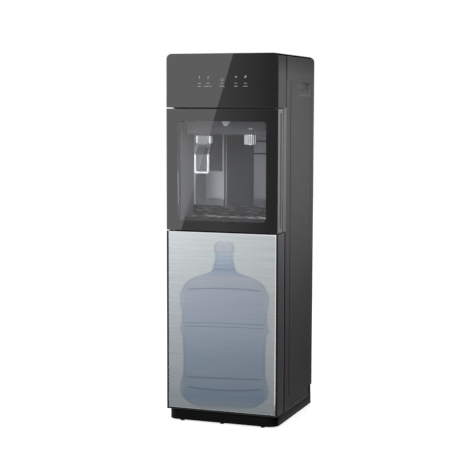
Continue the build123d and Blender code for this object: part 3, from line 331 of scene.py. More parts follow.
# Smoked acrylic, sanded on its back: half clear, half a pale haze. From its knee up it is left clear and darker.
def hazyAcrylic(name, haze, clear, roughness, knee, upper):
    kneeSoft = 0.001     # metres
    material, tree, place = placedMaterial(name)
    tone = blend(tree, noise(tree, place, 60.0, 2.0), *haze)
    tone = blend(tree, remap(tree, along(tree, place, "Z"), knee - kneeSoft, knee + kneeSoft), tone, upper)
    shader = principled(tree, {"Base Color": tone, "Roughness": roughness})
    surface(tree, mixed(tree, clear, shader, addNode(tree, "ShaderNodeBsdfTransparent").outputs[0]))
    return material


# The lever is one moulding: opaque white at its cheeks and its U, and clouded grey on the slope between them
def leverPlastic():
    slope = {"middle": 0.7865, "ends": (0.0165, 0.0145)}       # heights in metres
    material, tree, place = placedMaterial("two-shot ABS, white and clouded grey")
    away = calc(tree, "ABSOLUTE", calc(tree, "SUBTRACT", along(tree, place, "Z"), slope["middle"]))
    pits = noise(tree, place, 800.0, 2.0)
    tone = blend(tree, remap(tree, away, *slope["ends"]), "#fcfdfd", "#66686c")
    surface(tree, principled(tree, {"Base Color": tone, "Roughness": remap(tree, pits, 0.0, 1.0, 0.24, 0.36),
                                    "Normal": bump(tree, pits, 0.3, 0.02)}))
    return material


# Chromed moulding round an upright axis, painted darker where its wall dips, a painted shade in the flutes: axis is X
# and Y, dips two radii in metres
def flutedChrome(name, colour, dull, roughness, axis, dips):
    material, tree, place = placedMaterial(name)
    fromAxis = addNode(tree, "ShaderNodeVectorMath", {0: place, 1: (*axis, 0.0)}, operation="SUBTRACT").outputs[0]
    flat = addNode(tree, "ShaderNodeVectorMath", {0: fromAxis, 1: (1.0, 1.0, 0.0)}, operation="MULTIPLY").outputs[0]
    radius = addNode(tree, "ShaderNodeVectorMath", {0: flat}, operation="LENGTH").outputs["Value"]
    tone = blend(tree, remap(tree, radius, dips[1], dips[0]), colour, dull)
    surface(tree, principled(tree, {"Base Color": tone, "Metallic": 1.0, "Roughness": roughness}))
    return material


# Even coats whose colour hardly changes: enamel, zinc, ink, rubber, foam, board and small mouldings.
# cell is the size in millimetres of their orange peel, spangle, beads or weave.
def coated(name, colour, second, roughness, metallic, cell, depth, pattern="noise", sheen=0.5):
    material, tree, place = placedMaterial(name)
    if pattern == "cells":
        texture = addNode(tree, "ShaderNodeTexVoronoi", {"Vector": place, "Scale": 1000 / cell}).outputs
        value, tones = texture["Distance"], texture["Color"]
    else:
        value = tones = noise(tree, place, 1000 / cell, 2.0)
    satin = remap(tree, value, 0.0, 1.0, max(roughness - 0.05, 0.02), min(roughness + 0.05, 1.0))
    surface(tree, principled(tree, {
        "Base Color": blend(tree, tones, colour, second), "Metallic": metallic, "Roughness": satin,
        "Specular IOR Level": sheen, "Normal": bump(tree, value, 0.5, depth)}))
    return material


finishes = {
    # the doors are a little glossier than the sides
    "moulded_black": mouldedPlastic("moulded ABS, door grey", "#4e4e50", "#565658", 0.42, 1.6, 0.05, 0.25),
    "moulded_side": mouldedPlastic("moulded ABS, side grey", "#4c4c4c", "#545454", 0.5, 1.8, 0.06, 0.2),
    "niche_grey": mouldedPlastic("moulded polypropylene, niche grey", "#3c3d41", "#424347", 0.4, 1.4, 0.04, 0.3),
    "printed_glass": clearWall("float glass, toughened", "#ffffff", "#f4f6f5", 0.0, 1.45, 0.0),
    "door_glass": clearWall("float glass, toughened, door", "#e6e7e9", "#dddee0", 0.0, 1.45, 0.0),
    # its foot is painted darker, a painted reflection of the rippled tray
    "stainless": brushedMetal("stainless steel, brushed", "#cfd1d4", "#babcc0", 0.34, (0.637, "#808185", 0.014)),
    "chromed": coated("chromed brass", "#e4e6e9", "#d9dbde", 0.08, 1.0, 30, 0.0),
    "zinc_steel": coated("zinc plated steel", "#b4b5ae", "#c9cac6", 0.38, 1.0, 5, 0.01, "cells"),
    "black_steel": coated("black enamelled steel", "#18181a", "#202022", 0.38, 0.0, 1.6, 0.05),
    "galvanised": coated("coated steel sheet", "#6f7072", "#7c7d80", 0.42, 0.0, 2.2, 0.04),
    "rubber_black": coated("moulded rubber", "#1a1a1b", "#232324", 0.78, 0.0, 1.2, 0.06),
    "lever_grey": leverPlastic(),
    "smoked_clear": hazyAcrylic("smoked acrylic, sanded", ("#747579", "#808185"), 0.42, 0.35, 0.7705, "#2a2b2e"),
    "bottle_blue": clearWall("polycarbonate, pale blue", "#d3e4f5", "#dfeaf6", 0.03, 1.58, 0.4),
    "cap_white": mouldedPlastic("polyethylene, cap white", "#e4e7ea", "#eef0f2", 0.4, 1.2, 0.03),
    "tube_clear": clearWall("silicone tube", "#e2e6e8", "#e2e6e8", 0.2, 1.42, 0.2),
    "lamp_lens": coated("frosted acrylic lens", "#c4c6c8", "#cfd1d3", 0.45, 0.0, 1.0, 0.02),
    "foam_white": coated("expanded polystyrene", "#e6e6de", "#f1f1ea", 0.85, 0.0, 4.0, 0.4, "cells"),
    "copper": coated("drawn copper", "#c98a66", "#b87a5a", 0.3, 1.0, 12, 0.01),
    "circuit": coated("lacquered circuit board", "#1d5a34", "#2a6e42", 0.3, 0.0, 3.0, 0.05, "cells"),
    "switch_black": coated("moulded nylon, black", "#1b1b1c", "#222223", 0.3, 0.0, 1.2, 0.02),
    "rocker_red": coated("moulded polycarbonate, red", "#b0211c", "#bb2a24", 0.22, 0.0, 6.0, 0.0),
    "rocker_green": coated("moulded polycarbonate, green", "#1f8a3c", "#279545", 0.22, 0.0, 6.0, 0.0),
}
# its sides are painted lighter than its black front, a painted light as on the lit sides above, and its foot is painted
# darker, a painted shade at the floor
plinthPlastic = mouldedPlastic("moulded polypropylene, plinth black", "#070808", "#0b0c0c", 0.5, 1.6, 0.05, 0.05, [
    ("X", 0.1645, 0.18, "#2b2b2c", 0.0005), ("X", -0.18, -0.1645, "#2b2b2c", 0.0005),
    ("Z", -0.01, 0.0085, "#040404", 0.001)])
# paler outside; the walls of its opening are painted as dark as the shaded niche: a painted shade
doorEdgePlastic = mouldedPlastic("moulded ABS, door edge grey", "#7c7d7f", "#848587", 0.4, 1.6, 0.04, 0.25, [
    ("X", -0.158, 0.158, "#232325", 0.001)])
# its front rim is black against the silver panel, and a paler strip near its back is a painted highlight
doorRimPlastic = mouldedPlastic("moulded ABS, door grey with black rim", "#565658", "#5e5e60", 0.42, 1.6, 0.05, 0.25, [
    ("Y", -0.175, -0.1645, "#0b0b0c", 0.0003), ("Y", -0.1135, -0.1, "#8a8a8c", 0.001)])
# head and cover: painted black along their seam and their top edges, and painted darker towards the top: painted shade
topEdgeShade = ("Z", 1.0478, 1.0534, "#030303", 0.0003)
headPlastic = mouldedPlastic("moulded ABS, head grey", "#646466", "#6c6c6e", 0.6, 1.6, 0.05, 0.0, [
    ("Z", 1.03, 1.09, "#3e3e40", 0.035), ("Y", -0.1012, -0.09, "#0c0c0d", 0.0003), topEdgeShade])
coverPlastic = mouldedPlastic("moulded ABS, cover grey", "#676767", "#6f6f6f", 0.6, 1.8, 0.06, 0.0, [
    ("Z", 1.03, 1.09, "#4a4a4a", 0.035), ("Y", -0.11, -0.0935, "#0c0c0d", 0.0003), topEdgeShade])
pillarPlastic = mouldedPlastic("moulded ABS, pillar grey", "#6d6d6f", "#757577", 0.42, 1.6, 0.05, 0.25)
# the dark band along its front edge is painted shade at the seam
sidePlastic = mouldedPlastic("moulded ABS, side grey with dark edge", "#525252", "#5a5a5a", 0.5, 1.8, 0.06, 0.2, [
    ("Y", -0.11, -0.0985, "#101011", 0.0005)])
# painted lighter towards the left wall, a painted light, and darker in a strip beside the rib, a painted shade
linerPlastic = mouldedPlastic("moulded polypropylene, liner grey", "#2d2e31", "#323337", 0.4, 1.4, 0.04, 0.3, [
    ("X", -0.24, -0.075, "#7c7d80", 0.06), ("X", -0.0448, -0.0412, "#141415", 0.0004)])
tapPlastic = mouldedPlastic("moulded ABS, tap grey", "#797a7d", "#818285", 0.34, 1.2, 0.03, 0.4)
# the grip cups are painted paler than the sides: painted light against the shade in their hollows
litCupPlastic = mouldedPlastic("moulded ABS, grip grey", "#727272", "#7a7a7a", 0.5, 1.8, 0.06, 0.2)
trayPlastic = mouldedPlastic("moulded polypropylene, tray black", "#1d1d1f", "#242426", 0.4, 1.4, 0.04, 0.3)
# the right plate is painted darker than the left, a painted shade, and its foot darker still, a painted reflection of
# the tray
shadedSteel = brushedMetal("stainless steel, brushed, painted in shade", "#7f8185", "#727478", 0.42, (0.639, "#47484b", 0.016))
cutAluminium = brushedMetal("aluminium, diamond cut edge", "#f6f7f8", "#e6e8ea", 0.2)
# the nozzle's flutes are painted dark in their dips: painted shade
nozzleChrome = flutedChrome("chromed ABS, fluted", "#fcfdfe", "#36373a", 0.11, (0.070, -0.122), (0.0158, 0.0168))
palePlastic = coated("moulded ABS, pale", "#f0f2f4", "#e6e8ea", 0.35, 0.0, 1.4, 0.02)
lampWhite = coated("polycarbonate, lit lamp", "#e8eaec", "#f0f2f4", 0.4, 0.0, 2.0, 0.0)
rodSatin = coated("moulded ABS, satin light grey", "#a6a8ab", "#b0b2b5", 0.35, 0.0, 1.4, 0.02)
beadRubber = coated("moulded rubber, bead", "#141415", "#1b1b1c", 0.7, 0.0, 1.4, 0.04, sheen=0.2)
keyInk = coated("ceramic ink, pale grey", "#8f9092", "#9b9c9e", 0.5, 0.0, 2.0, 0.0, sheen=0.0)
# the pale crests of the bars and the ripples are painted highlights
barSteel = waved("stainless steel, drawn", "#37383a", "#dfe1e4", 0.3, 1.0, (42.0, 90.0, 20.0), (0.46, 0.6))
ripplePlastic = waved("moulded polypropylene, glossy black", "#060607", "#58595c", 0.3, 0.0, (45.0, 45.0, 150.0),
                      (0.5, 0.62))
blackGlass = enamelledGlass("float glass, black enamelled", "#0b0b0d", "#0e0e10")
# the keys and the two small lamps are lit from behind
for material, glowing in ((keyInk, 0.14), (lampWhite, 1.0)):
    shader = next(node for node in material.node_tree.nodes if node.type == "BSDF_PRINCIPLED")
    shader.inputs["Emission Color"].default_value = linear("#e6e9ee")
    shader.inputs["Emission Strength"].default_value = glowing

ownFinish = {
    "base": plinthPlastic, "middle_beam": plinthPlastic, "upper_door_frame": doorEdgePlastic,
    "lower_door_frame": doorRimPlastic, "splash_plate_right": shadedSteel, "head_shell": headPlastic,
    "top_cover": coverPlastic, "niche_liner": linerPlastic, "side_panel_left": sidePlastic,
    "side_panel_right": sidePlastic, "pillar_left": pillarPlastic, "pillar_right": pillarPlastic,
    "hot_tap_body": tapPlastic, "grip_cup_left": litCupPlastic, "grip_cup_right": litCupPlastic, "drip_tray": trayPlastic,
}
for name, node in nodes.items():
    slotName = node.material_slots[0].material.name.split(".")[0] if node.material_slots else ""
    if name in ownFinish or slotName in finishes:
        node.material_slots[0].material = ownFinish.get(name) or finishes[slotName]
    elif slotName != "brushed_silver":
        print("no finish for", name, slotName)
print("finishes on the packed pieces")


# Outlines and rings

# Angles evenly round a circle
def turns(count):
    return np.linspace(0, 2 * np.pi, count, endpoint=False)


# Points from arrays or numbers for their X, Y and Z
def points(x, y, z):
    return np.stack(np.broadcast_arrays(x, y, z), -1)


# Closed outline with round corners: a quarter circle of nine points at each corner, anticlockwise
def roundOutline(low, high, radii):
    low, high = np.asarray(low, float), np.asarray(high, float)
    corner = np.arange(4)[:, None]
    angle = (corner + np.linspace(0, 1, 9)) * np.pi / 2
    radius = np.broadcast_to(radii, 4)[:, None]
    signX, signZ = np.array([1, -1, -1, 1])[:, None], np.array([1, 1, -1, -1])[:, None]
    middle, half = (low + high) / 2, (high - low) / 2
    x = middle[0] + signX * (half[0] - radius) + radius * np.cos(angle)
    z = middle[1] + signZ * (half[1] - radius) + radius * np.sin(angle)
    return np.stack([x.ravel(), z.ravel()], 1)


# Makes a function that draws an outline in by an inset; its corner radii shrink too, down to a least one
def outlineOf(low, high, radii, least=0.0):
    return lambda inset: roundOutline(np.add(low, inset), np.subtract(high, inset),
                                      np.maximum(np.subtract(radii, inset), least))


# Puts an outline in the X Z plane at a depth
def upright(outline, y):
    return points(outline[:, 0], y, outline[:, 1])


# Upright rings of an outline function; each step is an inset and a depth
def stepped(outlineAt, steps):
    return [upright(outlineAt(inset), depth) for inset, depth in steps]


# Skin over a stack of rings of equal length, each joined to the next; the ends are closed by flat faces,
# or the last ring is joined to the first when loop is set
def ringSkin(name, rings, material, loop=False, smooth=False):
    rings = np.asarray(rings, float)
    count, around = rings.shape[:2]
    ringNumber, place = np.arange(count if loop else count - 1)[:, None], np.arange(around)
    here, following, beside = ringNumber * around, (ringNumber + 1) % count * around, (place + 1) % around
    faces = np.stack([here + place, following + place, following + beside, here + beside], -1).reshape(-1, 4).tolist()
    quads = rings.reshape(-1, 3)[np.asarray(faces)]
    if not loop:
        faces.append(list(range(around)))
        faces.append(list(range(count * around - 1, (count - 1) * around - 1, -1)))
    # the skin's faces point outwards when they sweep a positive volume, measured from its middle
    arms = quads - rings.reshape(-1, 3).mean(0)
    swept = arms[:, 0] * (np.cross(arms[:, 1], arms[:, 2]) + np.cross(arms[:, 2], arms[:, 3]))
    if swept.sum() < 0:
        faces = [face[::-1] for face in faces]
    return makeMesh(name, rings, faces, material, smooth)


# Joins finished pieces into the first one, which takes the name
def joined(pieces, name):
    with bpy.context.temp_override(active_object=pieces[0], selected_editable_objects=pieces,
                                   selected_objects=pieces):
        bpy.ops.object.join()
    pieces[0].name = name
    return pieces[0]


# Silver door panel with its printed bottle

panel = {
    "low": (-0.164, 0.0375), "high": (0.164, 0.552), "front": -0.170, "back": -0.166,
    "corner": 0.002, "roll": 0.0004, "gap": 0.0010, "bevel": (0.0028, 0.0012),    # bevel: where it ends, its depth
    "leastCorner": 0.0004, "shadowGapDeep": 0.0008,      # how far the dark strip of painted shade lies behind the front
    "light": "#b7bbbd", "dark": "#a5aaac", "footShade": "#abafb1",   # the sheet is painted greyer towards its foot: a painted shade
    # drawn pitch in mm and length over pitch, of fine and of wide lines; the real ones are about 0.1 mm apart
    "lines": ((1.0, 100), (2.5, 240)), "contrast": (0.72, 1.28),
}
printedBottle = {
    "middle": 0.0086, "foot": 0.049, "top": 0.527, "radius": 0.135, "softness": 0.0060,
    "body": (0.1245, 0.0025), "outerShare": 0.62,    # beyond the inner body's half width the ink is thinner
    # share of its height, share of its radius
    "outline": [(0.0, 0.5), (0.006, 0.62), (0.02, 0.75), (0.042, 0.87), (0.071, 0.965), (0.117, 0.995),
                (0.162, 0.955), (0.207, 0.915), (0.32, 0.912), (0.43, 0.935), (0.477, 0.99), (0.506, 0.957),
                (0.525, 0.948), (0.58, 0.95), (0.625, 0.98), (0.672, 0.988), (0.69, 0.975), (0.73, 0.905),
                (0.76, 0.82), (0.785, 0.65), (0.803, 0.44), (0.818, 0.29), (0.832, 0.25), (0.855, 0.23),
                (0.893, 0.193), (0.93, 0.188), (0.938, 0.215), (0.969, 0.218), (0.987, 0.192), (1.0, 0.12)],
    # share of its height and the tint over the metal there: foot, base, body, shoulder, neck, cap
    "tints": [(0.0, "#e1e4ed"), (0.07, "#c6d5ea"), (0.13, "#d3dded"), (0.30, "#d1dbeb"), (0.48, "#dde4f1"),
              (0.652, "#dee3f0"), (0.78, "#e2e4ec"), (0.83, "#c7d5e9"), (0.92, "#e2ebf8"), (0.945, "#ebeaf3"),
              (1.0, "#efeff5")],
    # height, half width, half thickness, strength, upward bend per metre squared
    "lines": [(0.3935, 0.110, 0.0035, 0.8, -0.38), (0.2935, 0.122, 0.0022, 0.75, -0.1),
              (0.2830, 0.122, 0.0022, 0.75, -0.1), (0.1344, 0.112, 0.0030, 0.9, 0.1),
              (0.0995, 0.112, 0.0034, 0.9, 0.55), (0.4965, 0.020, 0.0022, 0.45, 0.0),
              (0.4855, 0.021, 0.0020, 0.30, 0.0), (0.4730, 0.022, 0.0022, 0.35, 0.0),
              (0.4600, 0.024, 0.0022, 0.35, 0.0), (0.4480, 0.030, 0.0030, 0.45, -0.5)],
    "lineInk": "#c3c8d4", "lineEnd": 0.008,
    # the picture is drawn a little askew: its lines rise to the left, more so at the foot
    "skew": (0.044, -0.048), "rim": (0.007, 0.001, "#dde2ea"),
}


# Aluminium, brushed along X under a clear lacquer: soft sideways lines, with a bottle in thin blue-grey ink
def panelMetal():
    bottle, soft = printedBottle, printedBottle["softness"]
    material, tree, place = placedMaterial("brushed aluminium with printed bottle")
    x, z = along(tree, place, "X"), along(tree, place, "Z")
    lines, bands = (noise(tree, scaled(tree, place, (1000 / pitch / stretch, 1000 / pitch, 1000 / pitch)), 1.0, 2.0)
                    for pitch, stretch in panel["lines"])
    streak = remap(tree, calc(tree, "ADD", lines, bands), *panel["contrast"])
    # painted shade: the metal is painted darker towards the panel's foot
    low = remap(tree, z, panel["high"][1], panel["low"][1])
    metal = blend(tree, low, blend(tree, streak, panel["dark"], panel["light"]), panel["footShade"], "MULTIPLY")

    # how far inside the bottle's outline a point is: radius at its height less its distance from the axis
    aside = calc(tree, "SUBTRACT", x, bottle["middle"])
    skew = calc(tree, "MULTIPLY_ADD", z, bottle["skew"][1], bottle["skew"][0])
    level = calc(tree, "SUBTRACT", z, calc(tree, "MULTIPLY", skew, aside))
    share = remap(tree, level, bottle["foot"], bottle["top"])
    outline = addNode(tree, "ShaderNodeFloatCurve", {"Value": share})
    curve = outline.mapping.curves[0]
    curve.points[0].location, curve.points[1].location = (bottle["outline"][k] for k in (0, -1))
    for point in bottle["outline"][1:-1]:
        curve.points.new(*point)
    for point in curve.points:
        point.handle_type = "VECTOR"
    outline.mapping.update()
    offAxis = calc(tree, "ABSOLUTE", aside)
    inside = calc(tree, "SUBTRACT", calc(tree, "MULTIPLY", outline.outputs[0], bottle["radius"]), offAxis)
    sideways = remap(tree, inside, -soft, soft, way="SMOOTHSTEP")
    fromFoot = remap(tree, level, bottle["foot"] - soft, bottle["foot"] + soft, way="SMOOTHSTEP")
    toTop = remap(tree, level, bottle["top"] + soft, bottle["top"] - soft, way="SMOOTHSTEP")
    mask = calc(tree, "MULTIPLY", sideways, calc(tree, "MULTIPLY", fromFoot, toTop))
    bodyHalf, bodySoft = bottle["body"]
    body = remap(tree, offAxis, bodyHalf + bodySoft, bodyHalf - bodySoft, bottle["outerShare"])
    tints = addNode(tree, "ShaderNodeValToRGB", {"Fac": share})
    ramp = tints.color_ramp
    ramp.elements[0].position, ramp.elements[0].color = 0.0, linear(bottle["tints"][0][1])
    ramp.elements[1].position, ramp.elements[1].color = 1.0, linear(bottle["tints"][-1][1])
    for position, colour in bottle["tints"][1:-1]:
        ramp.elements.new(position).color = linear(colour)
    inked = blend(tree, calc(tree, "MULTIPLY", mask, body), metal, tints.outputs[0], "MULTIPLY")
    rim = calc(tree, "MULTIPLY", remap(tree, inside, *bottle["rim"][:2]), mask)
    colour = blend(tree, rim, inked, bottle["rim"][2], "MULTIPLY")
    squared = calc(tree, "MULTIPLY", aside, aside)
    for height, halfWidth, halfThick, strong, bend in bottle["lines"]:
        lineHeight = calc(tree, "MULTIPLY_ADD", squared, bend, height)
        gap = calc(tree, "ABSOLUTE", calc(tree, "SUBTRACT", level, lineHeight))
        onLine = remap(tree, gap, halfThick, 0.0, 0.0, strong, "SMOOTHSTEP")
        within = remap(tree, offAxis, halfWidth + bottle["lineEnd"], halfWidth - bottle["lineEnd"], way="SMOOTHSTEP")
        colour = blend(tree, calc(tree, "MULTIPLY", onLine, within), colour, bottle["lineInk"], "MULTIPLY")
    satin = remap(tree, streak, 0.0, 1.0, 0.36, 0.46)
    surface(tree, principled(tree, {"Base Color": colour, "Metallic": 1.0, "Roughness": satin,
                                    "Normal": bump(tree, lines, 0.3, 0.03)}))
    return material


silver = panelMetal()
nodes["lower_door_panel"].material_slots[0].material = silver

# Sheet with its edge rolled back a quarter turn: inset and depth follow the circle's cosine and sine
quarter = np.linspace(0, np.pi / 2, 6)
bevelWide, bevelDeep = panel["bevel"]
front, back = panel["front"], panel["back"]
panelOutline = outlineOf(panel["low"], panel["high"], panel["corner"], panel["leastCorner"])
insets = bevelWide + np.concatenate([[0.0], panel["roll"] * (1 - np.cos(quarter))])
depths = np.concatenate([[back], front + panel["roll"] * (1 - np.sin(quarter))])
panelPiece = ringSkin("doorPanel", stepped(panelOutline, zip(insets, depths)), silver)
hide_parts("lower_door_panel")
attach(panelPiece, "lower_door")
# bright cut edge round the sheet, and round that a black strip of painted shade in the gap: loops of four outlines
gapWide, shadowGapFace = panel["gap"], front + panel["shadowGapDeep"]
edgePiece = ringSkin("panelEdge", stepped(panelOutline, (
    (gapWide, back), (gapWide, front + bevelDeep), (bevelWide, front), (bevelWide, back))), cutAluminium, loop=True)
shadowGapPiece = ringSkin("panelShadowGap", stepped(panelOutline, (
    (0.0, back), (0.0, shadowGapFace), (gapWide, shadowGapFace), (gapWide, back))), beadRubber, loop=True)
# moulded lining behind the sheet, with a shallow sunk field; it shows when the door is open
lining = {"low": (-0.1412, 0.0558), "high": (0.1412, 0.5302), "corner": 0.001,
          "steps": ((0.0, -0.1659), (0.0, -0.1640), (0.018, -0.1640), (0.021, -0.1654))}    # inset and depth
liningPiece = ringSkin("doorLining", [
    upright(roundOutline(np.add(lining["low"], inset), np.subtract(lining["high"], inset),
                         lining["corner"] + inset / 3), depth) for inset, depth in lining["steps"]],
    finishes["moulded_side"])
for piece, slotName in ((edgePiece, "brushed_silver"), (shadowGapPiece, "moulded_black"), (liningPiece, "moulded_black")):
    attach(piece, "lower_door")
print("silver panel made")


# Black head glass, the door's glass round its window, and the key symbols

# The sheets are ground round their edges: their outlines step in over the last of their thickness
sheet = {"front": -0.1699, "back": -0.1655, "ground": 0.0006, "edge": 0.0003,
         "head": ((-0.1675, 0.9030), (0.1675, 1.0540), (0.016, 0.016, 0.001, 0.001)),
         "door": ((-0.1675, 0.5550), (0.1675, 0.9000), 0.0012)}
window = {"box": ((-0.1323, 0.584), (0.1323, 0.865), 0.012), "front": -0.170, "gap": 0.00003}    # gap round the pane
ground, sheetBack = sheet["ground"], sheet["back"]
headOutline, doorOutline, windowOutline = (outlineOf(*box) for box in (sheet["head"], sheet["door"], window["box"]))


# Rings of a glass sheet from its back to its front, inside its painted edge
def sheetRings(outlineAt, front):
    return stepped(lambda inset: outlineAt(sheet["edge"] + inset), (
        (0.0, sheetBack), (0.0, front + ground), (0.3 * ground, front + 0.3 * ground), (ground, front)))


# Painted edge of a sheet: a thin loop round it, from its back to the end of its side
def sheetEdge(name, outlineAt, front, paint):
    return ringSkin(name, stepped(outlineAt, (
        (0.0, sheetBack), (0.0, front + ground), (sheet["edge"], front + 0.9 * ground), (sheet["edge"], sheetBack))),
        paint, loop=True)


headGlass = ringSkin("headGlass", sheetRings(headOutline, sheet["front"]), blackGlass)
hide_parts("head_glass")
headEdge = sheetEdge("headGlassEdge", headOutline, sheet["front"], headPlastic)
for glassPiece in (headGlass, headEdge):
    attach(glassPiece, "cabinet")

doorEdge = sheetEdge("doorGlassEdge", doorOutline, window["front"], doorEdgePlastic)
doorGlass = ringSkin("doorGlass", sheetRings(doorOutline, window["front"]) + stepped(windowOutline, (
    (0.0, window["front"]), (0.0, sheetBack))), blackGlass, loop=True)
windowPane = ringSkin("windowPane", stepped(windowOutline, (
    (window["gap"], sheetBack), (window["gap"], window["front"]))), finishes["door_glass"])
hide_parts("upper_door_glass")
for glassPiece in (doorGlass, doorEdge, windowPane):
    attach(glassPiece, "upper_door")

keys = {
    "places": (-0.0666, -0.0404, 0.0013, 0.0425, 0.0705), "height": 0.9885, "middleHeight": 0.9814,
    # height of a row of bars and their widths
    "captions": {0.9708: (0.010, 0.009, 0.0095, 0.008, 0.009), 0.9625: (0.009, 0.022, 0.0155, 0.012, 0.014)},
    "captionHalf": 0.0007, "captionCorner": 0.0006,
    # bulb: radius and height from the key's middle; drop: half height, then its inside's share and shift
    "bulb": (0.0016, -0.0028), "drop": 0.0042, "dropInner": (0.62, -0.0006),
    # half length, half width, corner
    "spoke": (0.0033, 0.0005, 0.0005), "leaf": (0.0048, 0.0021),
    "square": ((0.0042, 0.0034, 0.0014), (0.0034, 0.0026, 0.0008)),
    "coat": (0.00002, 0.00009),     # where the ink starts and ends off the glass
}
inkBack, inkFront = (sheet["front"] - lift for lift in keys["coat"])
inked = []


# Outline round its own middle
def centred(halfWide, halfHigh, corner):
    return roundOutline((-halfWide, -halfHigh), (halfWide, halfHigh), corner)


# Ink of one outline, moved to its place
def inkSpot(outline, x, z):
    outline = outline + (x, z)
    inked.append(ringSkin("ink", [upright(outline, inkBack), upright(outline, inkFront)], keyInk))


# Ink between two outlines
def inkRing(outer, inner):
    inked.append(ringSkin("ink", [upright(outer, inkBack), upright(outer, inkFront), upright(inner, inkFront),
                                  upright(inner, inkBack)], keyInk, loop=True))


angle = turns(40)
left, second, middle, fourth, right = keys["places"]
# thermometer: a stem over a bulb
inkSpot(roundOutline((-0.0007, -0.0018), (0.0007, 0.0040), 0.0007), left, keys["height"])
inkSpot(np.stack([np.cos(angle), np.sin(angle)], 1) * keys["bulb"][0], left, keys["height"] + keys["bulb"][1])
# drop, drawn as an outline: its width is the sine of the angle times the square of the sine of half of it
drop = keys["drop"] * np.stack([-np.sin(angle) * np.sin(angle / 2) ** 2, np.cos(angle)], 1)
innerSize, innerShift = keys["dropInner"]
inkRing(drop + (second, keys["height"]), drop * innerSize + (second, keys["height"] + innerShift))
# three crossed bars
for slope in np.radians((0, 60, 120)):
    turned = np.array([(np.cos(slope), np.sin(slope)), (-np.sin(slope), np.cos(slope))])
    inkSpot(centred(*keys["spoke"]) @ turned, fourth, keys["height"])
# leaf: its length is a cosine and half its width the square of the sine, turned 45 degrees
length, halfLeaf = keys["leaf"][0] * np.cos(angle), keys["leaf"][1] * np.sin(angle) * np.abs(np.sin(angle))
inkSpot(np.stack([length - halfLeaf, length + halfLeaf], 1) * math.sqrt(0.5), right, keys["height"])
for z, widths in keys["captions"].items():
    for x, wide in zip(keys["places"], widths):
        inkSpot(centred(wide / 2, keys["captionHalf"], keys["captionCorner"]), x, z)
# square key in the middle
inkRing(*(centred(*sizes) + (middle, keys["middleHeight"]) for sizes in keys["square"]))
keySymbols = joined(inked, "keySymbols")
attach(keySymbols, "cabinet")
print("glass print and key symbols made")


# Niche: fluted nozzle, wavy grille, ripples, trims and slots

# Rings round an upright axis: each has a height and a radius, which may change round the axis
def rounded(x, y, radii, heights, count=96):
    radii = np.stack([np.broadcast_to(radius, count) for radius in radii])
    return points(x + radii * np.cos(turns(count)), y + radii * np.sin(turns(count)), np.asarray(heights)[:, None])


nozzle = {"at": (0.070, -0.122), "radius": 0.018, "flutes": 15, "fluteDepth": 0.0020, "steps": 192,
          # radius and height of its rings from the mouth up, with 0 for the fluted wall
          "profile": ((0.0040, 0.7990), (0.0164, 0.7990), (0.0172, 0.7996), (0, 0.8008), (0, 0.8255), (0.0174, 0.8270),
                      (0.0060, 0.8270), (0.0060, 0.8295), (0.0090, 0.8295), (0.0090, 0.8335), (0.0040, 0.8335))}
# the fluted wall dips by the fourth power of a cosine
wall = nozzle["radius"] - nozzle["fluteDepth"] * np.cos(turns(nozzle["steps"]) * nozzle["flutes"] / 2) ** 4
nozzlePiece = ringSkin("flutedNozzle", rounded(*nozzle["at"], [radius or wall for radius, height in nozzle["profile"]],
                                               [height for radius, height in nozzle["profile"]], nozzle["steps"]),
                       nozzleChrome, loop=True)
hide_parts("cold_nozzle")
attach(nozzlePiece, "cabinet")

tapRing = {"at": (-0.070, -0.122), "radius": 0.0078, "height": 0.8250, "thick": 0.0012}
collar = ringSkin("tapCollar", rounded(*tapRing["at"], tapRing["radius"] + tapRing["thick"] * np.cos(turns(16)),
                                       tapRing["height"] + tapRing["thick"] * np.sin(turns(16))),
                  finishes["chromed"], loop=True, smooth=True)
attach(collar, "cabinet")

grille = {"halfWide": 0.133, "near": -0.115, "far": -0.034, "low": 0.587, "high": 0.590, "rim": 0.004,
          "bevel": 0.0008, "corner": 0.005, "bars": 8, "barHalf": 0.0019, "barFlat": 0.92, "sway": 0.0021,
          "wave": 0.043, "shift": 2.1, "endGap": 0.002, "sideGap": 0.0035}
near, far, low, high = (grille[k] for k in ("near", "far", "low", "high"))
barEnd = grille["halfWide"] - grille["endGap"]
barX, barAngle = np.linspace(-barEnd, barEnd, 120)[:, None], turns(10)
grillePieces = []
for k in range(grille["bars"]):
    # each bar sways by a sine along the tray, and its section is a flat ellipse
    sway = grille["sway"] * np.sin(2 * np.pi * barX / grille["wave"] + grille["shift"] * k)
    middleY = np.clip(near + (k + 0.5) * (far - near) / grille["bars"] + sway,
                      near + grille["sideGap"], far - grille["sideGap"])
    height = (low + high) / 2 + (high - low) / 2 * grille["barFlat"] * np.sin(barAngle)
    grillePieces.append(ringSkin("bar", points(barX, middleY + grille["barHalf"] * np.cos(barAngle), height),
                                 barSteel, smooth=True))
# its rim: outlines in the X Y plane, each with an inset and a height
rim, bevel, rimRings = grille["rim"], grille["bevel"], []
rimOutline = outlineOf((-grille["halfWide"], near), (grille["halfWide"], far), grille["corner"], 0.001)
for inset, height in ((0.0, low), (0.0, high - bevel), (bevel, high), (rim - bevel, high), (rim, high - bevel),
                      (rim, low)):
    flat = rimOutline(inset)
    rimRings.append(points(flat[:, 0], flat[:, 1], height))
grillePieces.append(ringSkin("rim", rimRings, trayPlastic, loop=True))
wavyGrille = joined(grillePieces, "wavyGrille")
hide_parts("drip_grille")
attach(wavyGrille, "drip_grille")

